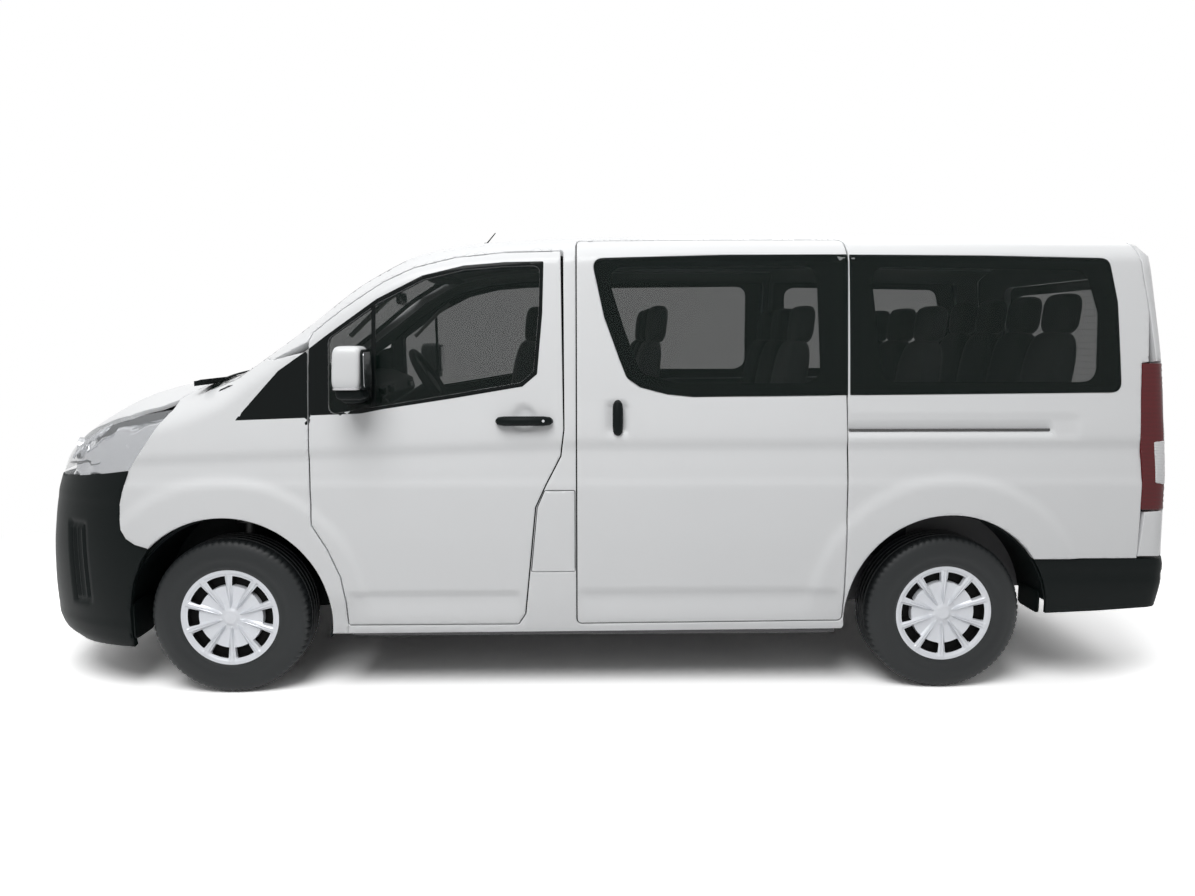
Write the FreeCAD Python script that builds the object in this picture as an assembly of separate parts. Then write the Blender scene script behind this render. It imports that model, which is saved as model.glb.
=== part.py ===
"""Passenger van: a glazed, high-roofed people carrier with a short bonnet.

Frame: +Z up, front of the van towards -X, left side towards -Y.
Origin: middle of the van's length and width, on the ground.  Millimetres.

Outline points are stations on the standard van: X from the middle of a
3210 mm wheelbase, Z from the ground.  along(), up() and out() carry them to
the sizes set below.
"""
import FreeCAD, Part
import math
import os

V = FreeCAD.Vector

# ---- driving dimensions -------------------------------------------------
WHEELBASE = 3210.0
FRONT_OVERHANG = 1001.0
REAR_OVERHANG = 1100.0
WIDTH = 1950.0
HEIGHT = 2085.0
WALL = 60.0               # whole door or side wall
SKIN = 22.0               # outer leaf of a stepped door
BONNET_LEAF = 25.0
GLASS = 5.0
SEAM = 3.0                # half of a shut line
SEAT_GAP = 0.3            # running or resting clearance
TYRE_R = 353.0
TYRE_W = 225.0
RIM_R = 206.0
CAP_R = 231.0
CAP_W = 91.7              # the tyre's bead is cleared outboard of this for the cap
ARCH_R = 460.0
TRACK = 1676.0
FLOOR_TOP = 560.0
FLOOR_T = 40.0
RAIL_Y = 430.0
RAIL_W = 80.0
RAIL_TOP = FLOOR_TOP - FLOOR_T
RAIL_H = 85.0
TOWBAR_HOLE_R = 6.5       # towbar bolt holes in the rear rail ends
TOWBAR_DEPTH = 40.0
TOWBAR_X = (2300.0, 2390.0)
CROSS_RISE = 30.0         # a cross member's top above the rail's underside
KINGPIN_LOW_Y = 745.0
KINGPIN_HIGH_Y = 600.0
KINGPIN_LOW_Z = 230.0
STRUT_TOP_Z = 880.0
LINER_R = 446.0
LINER_T = 6.0
LINER_Y = 505.0           # inboard wall of the front wheel housing
HOUSE_Y = 690.0           # inboard wall of the rear wheel housing
AXLE_SLOT = 70.0          # half size of the slot that the rear axle passes
JACK_PAD = (80.0, 60.0, 8.0)   # jacking pads under the rails: length, width, height
JACK_X = -700.0
EXHAUST_Y = 250.0
EXHAUST_Z = 455.0
PIPE_R = 24.0
DIFF_R = 125.0
SHAFT_R = 34.0
FLAP_T = 15.0             # fuel flap
FLANGE = 10.0             # body flange reaches this far into a doorway
DOOR_STEP = 32.0          # a door's inner leaf stands this far inside its seam
LAMP_SWING = 10.0         # air under a tail light, where the tailgate swings past
REST = 6.0                # air between a door leaf and its flange

# ---- the standard van that the outline stations belong to ----------------
STD_WHEELBASE = 3210.0
STD_FRONT = 1001.0
STD_REAR = 1100.0
STD_WIDTH = 1950.0
STD_HEIGHT = 2085.0
BELT_Z = 1250.0

LENGTH = FRONT_OVERHANG + WHEELBASE + REAR_OVERHANG
FRONT_AXLE_X = -LENGTH / 2 + FRONT_OVERHANG
REAR_AXLE_X = FRONT_AXLE_X + WHEELBASE
AXLE_Z = TYRE_R
WHEEL_Y = TRACK / 2
FAR = LENGTH


def along(x):
    """X of a standard station: overhangs and wheelbase stretch apart."""
    half = STD_WHEELBASE / 2
    if x < -half:
        return FRONT_AXLE_X + (x + half) * FRONT_OVERHANG / STD_FRONT
    if x > half:
        return REAR_AXLE_X + (x - half) * REAR_OVERHANG / STD_REAR
    return FRONT_AXLE_X + (x + half) * WHEELBASE / STD_WHEELBASE


def up(z):
    """Z of a standard station: the glasshouse above the belt stretches."""
    if z <= BELT_Z:
        return z
    return BELT_Z + (z - BELT_Z) * (HEIGHT - BELT_Z) / (STD_HEIGHT - BELT_Z)


def out(y):
    """Y of a standard station."""
    return y * WIDTH / STD_WIDTH


# ---- plane outlines -------------------------------------------------------
def rounded(points, radius):
    """Closed 2-D outline as [('line', a, b) | ('arc', a, mid, b)] runs."""
    runs = []
    count = len(points)
    ends = []
    for i in range(count):
        p, q, r = points[i - 1], points[i], points[(i + 1) % count]
        a = math.atan2(p[1] - q[1], p[0] - q[0])
        b = math.atan2(r[1] - q[1], r[0] - q[0])
        turn = abs((b - a + math.pi) % (2 * math.pi) - math.pi)
        room = 0.45 * min(math.dist(p, q), math.dist(q, r))
        reach = radius / math.tan(turn / 2) if turn > 0.01 else 0
        reach = min(reach, room)
        if turn > math.pi - 0.02 or reach < 0.5:
            ends.append((q, q, q))
            continue
        start = (q[0] + reach * math.cos(a), q[1] + reach * math.sin(a))
        end = (q[0] + reach * math.cos(b), q[1] + reach * math.sin(b))
        size = reach * math.tan(turn / 2)
        mx, mz = (start[0] + end[0]) / 2 - q[0], (start[1] + end[1]) / 2 - q[1]
        flat = math.hypot(mx, mz)
        depth = size / math.sin(turn / 2) - size
        ends.append((start, (q[0] + mx / flat * depth, q[1] + mz / flat * depth), end))
    for i in range(count):
        start, mid, end = ends[i]
        if start != end:
            runs.append(("arc", start, mid, end))
        nxt = ends[(i + 1) % count][0]
        if math.dist(end, nxt) > 1e-6:
            runs.append(("line", end, nxt))
    return runs


def wire_of(runs, place):
    """3-D wire of 2-D runs; place(point) gives the vector."""
    edges = []
    for run in runs:
        if run[0] == "line":
            edges.append(Part.LineSegment(place(run[1]), place(run[2])).toShape())
        else:
            edges.append(Part.Arc(place(run[1]), place(run[2]), place(run[3])).toShape())
    return Part.Wire(edges)


def side_outline(points, radius=0.0, grow=0.0):
    """Closed wire in the XZ plane through standard stations, offset by grow."""
    placed = [(along(x), up(z)) for x, z in points]
    wire = wire_of(rounded(placed, radius), lambda p: V(p[0], 0, p[1]))
    if grow:
        wire = wire.makeOffset2D(grow)
    return wire


def across(wire, y0, y1):
    """Prism of an XZ wire between two Y planes."""
    face = Part.Face(wire)
    face.translate(V(0, min(y0, y1), 0))
    return face.extrude(V(0, abs(y1 - y0), 0))


def side_prism(points, side, radius=0.0, grow=0.0, inner=500.0):
    """Prism of stations through one flank: side is -1 left, +1 right."""
    return across(side_outline(points, radius, grow), side * out(inner), side * FAR)


def plan_prism(points, z0, z1, radius=0.0):
    """Upright prism of standard plan stations (x, y)."""
    placed = [(along(x), out(y)) for x, y in points]
    wire = wire_of(rounded(placed, radius), lambda p: V(p[0], p[1], z0))
    return Part.Face(wire).extrude(V(0, 0, z1 - z0))


def block(x0, x1, y0, y1, z0, z1):
    return Part.makeBox(x1 - x0, y1 - y0, z1 - z0, V(x0, y0, z0))


def cylinder_y(x, z, r, y0, y1):
    return Part.makeCylinder(r, abs(y1 - y0), V(x, min(y0, y1), z), V(0, 1, 0))


def rod(a, b, r):
    d = b.sub(a)
    return Part.makeCylinder(r, d.Length, a, d)


def mirrored(shape):
    return shape.mirror(V(0, 0, 0), V(0, 1, 0))


def largest(shape):
    return max(shape.Solids, key=lambda s: s.Volume)


# ---- the body's outer form -------------------------------------------------
NOSE = [(-2440, 200), (-2545, 228), (-2594, 320), (-2606, 450), (-2602, 620), (-2584, 800),
        (-2550, 950), (-2505, 1060), (-2430, 1150), (-2330, 1222), (-2190, 1290), (-2000, 1350),
        (-1850, 1385), (-1735, 1405)]
TOP = [(-1735, 1405), (-1600, 1462), (-1450, 1552), (-1250, 1697), (-1000, 1882), (-750, 1998),
       (-450, 2050), (0, 2075), (600, 2085), (1600, 2085), (2200, 2076), (2585, 2052)]
TAIL = [(2585, 2052), (2578, 1950), (2596, 1800), (2634, 1500), (2656, 1250), (2664, 1000),
        (2682, 660), (2702, 590), (2705, 500), (2696, 400)]
UNDER = [(2600, 378), (2000, 350), (1640, 290), (1158, 288), (-1149, 268), (-1600, 240),
         (-2057, 212)]
FLANK = [(905, 150), (938, 270), (950, 330), (966, 500), (975, 730), (972, 960), (957, 1120),
         (936, 1340), (900, 1650), (868, 1900), (846, 1965)]
SHOULDER = [(808, 2015), (735, 2050), (600, 2070), (350, 2081), (0, 2085)]
FRONT_PLAN = [(-2606, 0), (-2600, 250), (-2568, 480), (-2500, 680), (-2395, 815), (-2240, 905),
              (-2050, 955), (-1850, 985)]
REAR_PLAN = [(2300, 990), (2500, 955), (2590, 905), (2655, 820), (2690, 700), (2702, 400), (2705, 0)]


def inset(points, depth):
    """Open run of points moved depth to the left of its direction of travel."""
    moved = []
    for i, p in enumerate(points):
        a = points[max(i - 1, 0)]
        b = points[min(i + 1, len(points) - 1)]
        dx, dz = b[0] - a[0], b[1] - a[1]
        size = math.hypot(dx, dz)
        moved.append((p[0] - dz / size * depth, p[1] + dx / size * depth))
    return moved


def spline(points, place):
    curve = Part.BSplineCurve()
    curve.interpolate([place(p) for p in points])
    return curve.toShape()


def closed_prism(edges, sweep):
    """Solid swept from edges that run head to tail, closed by straight lines."""
    runs = []
    for i, edge in enumerate(edges):
        runs.append(edge)
        a = edge.Vertexes[-1].Point
        b = edges[(i + 1) % len(edges)].Vertexes[0].Point
        if a.distanceToPoint(b) > 1e-4:
            runs.append(Part.LineSegment(a, b).toShape())
    return Part.Face(Part.Wire(runs)).extrude(sweep)


def side_form(depth):
    """Side profile swept across the van, inset by depth."""
    def place(p):
        return V(p[0], -FAR / 2, p[1])

    def run(points):
        return inset([(along(x), up(z)) for x, z in points], -depth)
    nose, top, tail = run(NOSE), run(TOP), run(TAIL)
    top[0] = nose[-1] = ((nose[-1][0] + top[0][0]) / 2, min(nose[-1][1], top[0][1]))
    corner = (tail[0][0], top[-1][1])
    top[-1] = tail[0] = corner
    under = run(UNDER)
    edges = [spline(nose, place), spline(top, place), spline(tail, place)]
    last = tail[-1]
    for p in under:
        edges.append(Part.LineSegment(place(last), place(p)).toShape())
        last = p
    return closed_prism(edges, V(0, FAR, 0))


def section_form(depth):
    """Cross-section swept along the van, inset by depth."""
    right = inset([(out(y), up(z)) for y, z in FLANK + SHOULDER], depth)
    right[-1] = (0, right[-1][1])
    left = [(-y, z) for y, z in reversed(right)]

    def place(p):
        return V(-FAR / 2, p[0], p[1])
    edges = [spline(right, place), spline(left, place)]
    return closed_prism(edges, V(FAR, 0, 0))


def plan_form(depth):
    """Plan outline swept upwards, inset by depth."""
    front = [(along(x), out(y)) for x, y in FRONT_PLAN]
    front = inset([(x, -y) for x, y in reversed(front)] + front[1:], -depth)
    rear = [(along(x), out(y)) for x, y in REAR_PLAN]
    rear = inset(rear + [(x, -y) for x, y in reversed(rear[:-1])], -depth)

    def place(p):
        return V(p[0], p[1], 0)
    return closed_prism([spline(front, place), spline(rear, place)], V(0, 0, 2 * HEIGHT))


def body_form(depth):
    return side_form(depth).common(section_form(depth)).common(plan_form(depth))


# ---- outlines of the body panels (standard stations, x and z) --------------
FRONT_DOOR = [(-1222, 1578), (-1222, 1070), (-1216, 780), (-1150, 670), (-1098, 545), (-1080, 430),
              (-1077, 317), (-318, 317), (-286, 366), (-262, 600), (-237, 853), (-190, 955),
              (-126, 1079), (-112, 1194), (-112, 1976), (-370, 1969), (-592, 1946), (-768, 1901),
              (-901, 1839), (-1077, 1719), (-1205, 1618)]
DOOR_REAR_EASE = [(-115, 1194), (-80, 1194), (-80, 2050), (-127, 2050)]
FRONT_WINDOW = [(-1135, 1590), (-918, 1745), (-724, 1845), (-547, 1888), (-369, 1903), (-215, 1908),
                (-222, 1700), (-245, 1445), (-300, 1400), (-591, 1350), (-901, 1300), (-1135, 1262)]
SLIDING_DOOR = [(-57, 1990), (-26, 2010), (471, 2027), (1142, 2034), (1134, 1351), (1141, 979),
                (1139, 326), (-57, 318)]
SLIDING_WINDOW = [(10, 1939), (597, 1955), (1105, 1958), (1105, 1343), (457, 1336), (340, 1348),
                  (223, 1378), (164, 1419), (131, 1502), (65, 1685)]
QUARTER_WINDOW = [(1168, 1957), (1759, 1954), (2305, 1943), (2340, 1750), (2355, 1354), (1168, 1343)]
FUEL_FLAP = [(-201, 927), (-57, 929), (-57, 561), (-268, 557)]
HEADLIGHT = [(-2153, 998), (-2005, 1015), (-1942, 1107), (-1814, 1270), (-1895, 1290),
             (-2031, 1250), (-2280, 1180), (-2500, 1110), (-2520, 960), (-2276, 983)]
TAIL_LIGHT = [(2447, 1482), (2440, 1150), (2454, 955), (2454, 832), (2549, 832), (2549, 1491)]
FRONT_BUMPER = [(-2057, 150), (-2043, 392), (-2018, 507), (-1982, 602), (-1933, 669), (-2028, 714),
                (-2055, 781), (-2036, 927), (-2003, 1020), (-2153, 998), (-2276, 983), (-2520, 960),
                (-2800, 960), (-2800, 150)]
BUMPER_TOP = 612.0
REAR_BUMPER = [(1978, BUMPER_TOP), (2800, BUMPER_TOP), (2800, 200), (1978, 200)]
TAILGATE = [(2455, 2200), (2458, 2028), (2443, 1977), (2458, 1860), (2482, 1706), (2498, 1493),
            (2549, 1491), (2549, 832), (2455, 822), (2453, BUMPER_TOP), (2900, BUMPER_TOP), (2900, 2200)]
TAILGATE_WINDOW = (690, 1270, 1900)       # half width, lowest, highest
FENDER = [(-2900, 0), (-1228, 0), (-1228, 1450), (-1352, 1450), (-1398, 1516), (-1760, 1560),
          (-2900, 1560)]

# ---- plan outlines (standard stations, x and y) ------------------------------
BONNET = [(-1757, -840), (-1880, -862), (-2080, -840), (-2280, -760), (-2400, -600), (-2466, -300),
          (-2480, 0), (-2466, 300), (-2400, 600), (-2280, 760), (-2080, 840), (-1880, 862),
          (-1757, 840)]
WINDSCREEN = [(-1722, -800), (-840, -715), (-840, 715), (-1722, 800)]
ROOF = [(-840, -760), (2470, -760), (2470, 760), (-840, 760)]
COWL = [(-1751, -838), (-1722, -838), (-1722, 838), (-1751, 838),
        (-1751, 360), (-1759.7, 360), (-1759.7, 300), (-1751, 300),
        (-1751, -300), (-1759.7, -300), (-1759.7, -360), (-1751, -360)]


# ---- shared forms -------------------------------------------------------------
OUTER = body_form(0)
UNDER_GLASS = body_form(GLASS)
UNDER_FLAP = body_form(FLAP_T)
UNDER_SKIN = body_form(SKIN)
CABIN = body_form(WALL)
FLANGE_FACE = body_form(SKIN + REST)
STOP_FACE = body_form(SKIN + SEAT_GAP)
FLAP_STOP_FACE = body_form(FLAP_T + SEAT_GAP)
OPEN_BELLY = block(-FAR, FAR, -out(850), out(850), -100, FLOOR_TOP - FLOOR_T)


def wheel_arches(radius, inner):
    holes = []
    for x in (FRONT_AXLE_X, REAR_AXLE_X):
        for side in (-1, 1):
            holes.append(cylinder_y(x, AXLE_Z, radius, side * inner, side * FAR))
    return holes


WALLS = OUTER.cut(CABIN).cut(OPEN_BELLY)


def half_space(side):
    return block(-FAR, FAR, min(0, side * FAR), max(0, side * FAR), -100, FAR)


SIDE_WALLS = {side: WALLS.common(half_space(side)) for side in (-1, 1)}


def outer_leaf(zone, depth_form=None):
    """The part of the skin, SKIN thick unless told otherwise, inside a zone."""
    return zone.common(OUTER).cut(depth_form or UNDER_SKIN)


def leaf_room(zone):
    """What a zone takes out of a wall's outer leaf."""
    return zone.cut(UNDER_SKIN)


def doorway_cuts(points, side):
    """Cuts for a stepped door: through the wall, and its wider outer leaf."""
    through = side_prism(points, side, 12, -FLANGE)
    return through, side_prism(points, side, 12, SEAM).cut(FLANGE_FACE)


def stepped_door(points, window, side):
    """Outer leaf to the seam, inner leaf stepped in, window cut through."""
    whole = side_prism(points, side, 12, -SEAM).common(OUTER).cut(CABIN).cut(OPEN_BELLY)
    rim = side_prism(points, side, 12, 2 * SEAM).cut(side_prism(points, side, 12, -DOOR_STEP))
    door = whole.cut(rim.common(UNDER_SKIN)).cut(side_prism(DOOR_REAR_EASE, side))
    return largest(door.cut(side_prism(window, side, 30)))


def pane(points, side, radius=30.0):
    return outer_leaf(side_prism(points, side, radius), UNDER_GLASS)


# ---- body panels ----------------------------------------------------------------
def bonnet_prism(grow=0.0):
    placed = [(along(x), out(y)) for x, y in BONNET]
    wire = wire_of(rounded(placed, 60), lambda p: V(p[0], p[1], 900))
    if grow:
        wire = wire.makeOffset2D(grow)
    return Part.Face(wire).extrude(V(0, 0, HEIGHT))


def full_width(points):
    return across(side_outline(points), -FAR, FAR)


def side_panel(side):
    """Pillars, cant rail, sill and quarter panel of one side in one pressing."""
    panel = SIDE_WALLS[side]
    cuts = [*doorway_cuts(FRONT_DOOR, side),
            side_prism(SLIDING_DOOR, side, 12),
            side_prism(QUARTER_WINDOW, side, 40),
            full_width(TAILGATE), full_width(REAR_BUMPER),
            leaf_room(side_prism(TAIL_LIGHT, side, 8, 0, 700)),
            plan_prism(ROOF, 1700, FAR), plan_prism(WINDSCREEN, 1300, FAR),
            block(-FAR, along(-1300), -FAR, FAR, -100, up(1405)),
            block(-FAR, along(-1722), -FAR, FAR, -100, FAR)]
    if side < 0:
        cuts.append(leaf_room(side_prism(FUEL_FLAP, side, 14, SEAM)))
    for cut in cuts + wheel_arches(ARCH_R, HOUSE_Y):
        panel = panel.cut(cut)
    panel = panel.cut(leaf_room(side_prism(FENDER, side)))
    catch = side_prism([(-133, 1060), (-110, 1060), (-110, 1110), (-133, 1110)], side)
    panel = panel.fuse(catch.common(STOP_FACE).cut(CABIN))
    if side < 0:
        catch = side_prism([(-235, 730), (-215, 730), (-215, 750), (-235, 750)], side)
        panel = panel.fuse(catch.common(FLAP_STOP_FACE).cut(CABIN))
    return largest(panel)


def fender(side):
    zone = side_prism(FENDER, side).cut(OPEN_BELLY).cut(bonnet_prism(SEAM))
    cuts = [plan_prism(WINDSCREEN, 1300, FAR), full_width(FRONT_BUMPER),
            side_prism(HEADLIGHT, side, 8, 0, 560), plan_prism(COWL, 1200, FAR), grille_block(),
            side_prism(FRONT_DOOR, side, 12, SEAM)]
    for cut in cuts + wheel_arches(ARCH_R, HOUSE_Y):
        zone = zone.cut(cut)
    return largest(outer_leaf(zone))


def sliding_door(side):
    door = side_prism(SLIDING_DOOR, side, 12).common(OUTER).cut(CABIN).cut(OPEN_BELLY)
    edge = side_prism(SLIDING_DOOR, side, 12, SEAM).cut(side_prism(SLIDING_DOOR, side, 12, -2 * SEAM))
    door = door.cut(edge.cut(UNDER_SKIN)).cut(plan_prism(ROOF, 1700, FAR))
    return largest(door.cut(side_prism(SLIDING_WINDOW, side, 40)))


def bonnet():
    leaf = bonnet_prism(-SEAM).common(OUTER).cut(body_form(BONNET_LEAF))
    return largest(leaf.common(block(-FAR, FAR, -FAR, FAR, up(1000), FAR)))


INTAKE = (470, 400, 640)      # lower air intake: half width, lowest, highest


def intake_block(margin):
    half, low, high = INTAKE
    return block(-FAR, along(-2300), -out(half) + margin, out(half) - margin, low, high)


def front_bumper():
    zone = full_width(FRONT_BUMPER).cut(bonnet_prism(SEAM)).cut(intake_block(0))
    for cut in wheel_arches(ARCH_R, 300):
        zone = zone.cut(cut)
    return largest(outer_leaf(zone))


def grille_block():
    return block(-FAR, along(-2250), -out(560), out(560), 960, up(1200))


def grille():
    """Upper grille between the headlights and the mesh of the lower intake."""
    zone = grille_block().cut(bonnet_prism(SEAM))
    for z in (985, 1025):
        zone = zone.cut(block(-FAR, 0, -out(500), out(500), z, z + 22))
    upper = outer_leaf(zone)
    mesh = intake_block(0)
    half, low, high = INTAKE
    for i in range(4):
        z = low + 20 + 55 * i
        mesh = mesh.cut(block(-FAR, 0, -out(half - 30), out(half - 30), z, z + 30))
    mesh = mesh.common(UNDER_GLASS).cut(UNDER_SKIN)
    return Part.makeCompound([largest(upper), largest(mesh)])


def headlights():
    both = []
    for side in (-1, 1):
        zone = side_prism(HEADLIGHT, side, 8, 0, 560).cut(bonnet_prism(SEAM)).cut(full_width(FRONT_BUMPER))
        both.append(largest(outer_leaf(zone)))
    return Part.makeCompound(both)


def tail_lights():
    both = []
    for side in (-1, 1):
        both.append(largest(outer_leaf(side_prism(TAIL_LIGHT, side, 8, -2, 700))))
    return Part.makeCompound(both)


def tailgate_zone():
    """Everything behind the tailgate's shut line, drawn back to leave the gap."""
    near = full_width(TAILGATE)
    near.translate(V(2 * SEAM, 0, 0))
    lowered = near.copy()
    lowered.translate(V(0, 0, -LAMP_SWING))
    upper = block(along(2500), FAR, -FAR, FAR, 840, FAR)
    sill = block(-FAR, FAR, -FAR, FAR, BUMPER_TOP + 2 * SEAM, FAR)
    return near.common(lowered.fuse(upper)).common(sill)


def tailgate():
    gate = tailgate_zone().common(OUTER).cut(CABIN).cut(OPEN_BELLY)
    return largest(gate.cut(tailgate_hole()))


def tailgate_hole():
    half, low, high = TAILGATE_WINDOW
    hole = [(-half, low), (half, low), (half - 60, high), (-half + 60, high)]
    placed = [(out(y), up(z)) for y, z in hole]
    wire = wire_of(rounded(placed, 60), lambda p: V(along(2350), p[0], p[1]))
    return Part.Face(wire).extrude(V(FAR, 0, 0))


def roof():
    zone = plan_prism(ROOF, 1800, FAR).cut(full_width(TAILGATE))
    return largest(zone.common(OUTER).cut(CABIN))


def rear_bumper():
    zone = full_width(REAR_BUMPER)
    for cut in wheel_arches(ARCH_R, 300):
        zone = zone.cut(cut)
    belly = block(-FAR, along(2600), -out(880), out(880), -100, BUMPER_TOP - 2 * SKIN)
    bumper = outer_leaf(zone).cut(belly)
    for y in (-320, 320):
        pad = block(along(2640), along(2670), y - 20, y + 20, BUMPER_TOP - SKIN,
                    BUMPER_TOP + 2 * SEAM - SEAT_GAP)
        bumper = bumper.fuse(pad.common(OUTER))
    return largest(bumper)


def fuel_flap():
    return largest(outer_leaf(side_prism(FUEL_FLAP, -1, 12, -SEAM - 1), UNDER_FLAP))


def side_glass():
    panes = []
    for side in (-1, 1):
        panes.append(largest(pane(SLIDING_WINDOW, side, 40)))
        panes.append(largest(pane(QUARTER_WINDOW, side, 40)))
    return Part.makeCompound(panes)


# ---- floor, bulkhead and wheel housings -------------------------------------------
def house(x, r0, r1, y0, y1, side):
    """Half-round wheel housing with its inboard wall."""
    low = AXLE_Z - 100
    shell = cylinder_y(x, AXLE_Z, r1, side * y0, side * y1)
    shell = shell.cut(cylinder_y(x, AXLE_Z, r0, side * (y0 + LINER_T), side * FAR))
    return shell.common(block(-FAR, FAR, -FAR, FAR, low, FAR))


def floor_pan():
    """Floor plate, bulkhead under the cowl and the rear wheel housings."""
    low = FLOOR_TOP - FLOOR_T
    door_end = along(-50)
    front = block(along(-1300), door_end, -out(895), out(895), low, FLOOR_TOP)
    rear = CABIN.common(block(door_end, along(2440), -FAR, FAR, low, FLOOR_TOP))
    wall = [(-1300, low), (-1280, low), (-1280, 1010), (-1700, 1310), (-1712, 1296), (-1300, 1002)]
    placed = [(along(x), z) for x, z in wall]
    bulkhead = across(wire_of(rounded(placed, 0), lambda p: V(p[0], 0, p[1])), -out(880), out(880))
    pan = front.fuse([rear, bulkhead.common(CABIN)])
    for side in (-1, 1):
        pan = pan.cut(cylinder_y(FRONT_AXLE_X, AXLE_Z, LINER_R + LINER_T + SEAT_GAP,
                                 side * (LINER_Y - SEAT_GAP), side * FAR))
        pan = pan.cut(cylinder_y(REAR_AXLE_X, AXLE_Z, ARCH_R, side * (HOUSE_Y + LINER_T), side * FAR))
        box = house(REAR_AXLE_X, ARCH_R, ARCH_R + LINER_T, HOUSE_Y, out(940), side)
        pan = pan.fuse(box.common(CABIN))
    slot = block(REAR_AXLE_X - AXLE_SLOT, REAR_AXLE_X + AXLE_SLOT, -FAR, FAR, -100, AXLE_Z + AXLE_SLOT)
    return largest(pan.cut(slot))


def wheel_liners():
    both = []
    for side in (-1, 1):
        liner = house(FRONT_AXLE_X, LINER_R, LINER_R + LINER_T, LINER_Y, out(912), side)
        hole = rod(kingpin(side, 600), kingpin(side, 1000), 85)
        both.append(largest(liner.common(UNDER_SKIN).cut(hole)))
    return Part.makeCompound(both)


# ---- running gear --------------------------------------------------------------------
def kingpin(side, z):
    """Point of the steering axis at height z."""
    share = (z - KINGPIN_LOW_Z) / (STRUT_TOP_Z - KINGPIN_LOW_Z)
    y = KINGPIN_LOW_Y + (KINGPIN_HIGH_Y - KINGPIN_LOW_Y) * share
    return V(FRONT_AXLE_X, side * y, z)


def underframe():
    """Two rails with cross members, strut towers and front lower arms."""
    low = RAIL_TOP - RAIL_H
    parts = []
    for side in (-1, 1):
        y0 = side * RAIL_Y - RAIL_W / 2
        parts.append(block(along(-2380), along(2420), y0, y0 + RAIL_W, low, RAIL_TOP))
        leg = side * (RAIL_Y - 25)
        tower = block(FRONT_AXLE_X - 90, FRONT_AXLE_X + 90, leg - 8, leg + 8, RAIL_TOP - 5, STRUT_TOP_Z + 20)
        far = side * (KINGPIN_HIGH_Y + 60)
        cap = block(FRONT_AXLE_X - 90, FRONT_AXLE_X + 90, min(leg - 8, far), max(leg + 8, far),
                    STRUT_TOP_Z + SEAT_GAP + 15, STRUT_TOP_Z + 35)
        parts += [tower, cap]
    for x in (along(-2360), FRONT_AXLE_X, along(-900), along(300), along(1150), along(2380)):
        bottom = low - 90 if x == FRONT_AXLE_X else low
        parts.append(block(x - 30, x + 30, -RAIL_Y, RAIL_Y, bottom, low + CROSS_RISE))
    for side in (-1, 1):
        tip = KINGPIN_LOW_Y + 20
        arm = block(FRONT_AXLE_X - 30, FRONT_AXLE_X + 30, min(side * 380, side * tip),
                    max(side * 380, side * tip), KINGPIN_LOW_Z - 28, KINGPIN_LOW_Z - 8)
        post = block(FRONT_AXLE_X - 30, FRONT_AXLE_X + 30, min(side * 380, side * 440),
                     max(side * 380, side * 440), KINGPIN_LOW_Z - 28, low + 5)
        parts += [arm, post]
    long, wide, tall = JACK_PAD
    for y in (-RAIL_Y, RAIL_Y):
        x = along(JACK_X)
        parts.append(block(x - long / 2, x + long / 2, y - wide / 2, y + wide / 2, low - tall, low + 5))
    frame = parts[0].fuse(parts[1:]).removeSplitter()
    for body in (exhaust_pipe(SEAT_GAP), propeller_shaft(SEAT_GAP), tank_block(SEAT_GAP)):
        frame = frame.cut(body)
    for x in TOWBAR_X:
        for y in (-RAIL_Y, RAIL_Y):
            frame = frame.cut(Part.makeCylinder(TOWBAR_HOLE_R, TOWBAR_DEPTH, V(along(x), y, low)))
    return frame


def hub_face():
    """Outer end of the axle stubs, where the wheel disc bolts on."""
    return WHEEL_Y - 30


def knuckle(side):
    """Upright with its strut along the steering axis, ball pin and hub stub."""
    strut = rod(kingpin(side, 420), kingpin(side, STRUT_TOP_Z), 26)
    low = kingpin(side, KINGPIN_LOW_Z)
    pin = rod(kingpin(side, KINGPIN_LOW_Z - 5), kingpin(side, 300), 12)
    y = low.y
    upright = block(FRONT_AXLE_X - 38, FRONT_AXLE_X + 38, min(y - side * 62, y + side * 22),
                    max(y - side * 62, y + side * 22), KINGPIN_LOW_Z + 6, 440)
    stub = cylinder_y(FRONT_AXLE_X, AXLE_Z, 60, y, side * (hub_face() - SEAT_GAP))
    spring = rod(kingpin(side, 720), kingpin(side, 860), 62)
    return largest(upright.fuse([strut, stub, pin, spring]))


def differential(grow=0.0):
    return Part.makeSphere(DIFF_R + grow, V(REAR_AXLE_X, 0, AXLE_Z))


def rear_axle():
    stub = hub_face() - SEAT_GAP
    tube = cylinder_y(REAR_AXLE_X, AXLE_Z, 45, -stub, stub)
    drum = []
    for side in (-1, 1):
        drum.append(cylinder_y(REAR_AXLE_X, AXLE_Z, 110, side * (stub - 90), side * stub))
    return tube.fuse(drum + [differential()])


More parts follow.
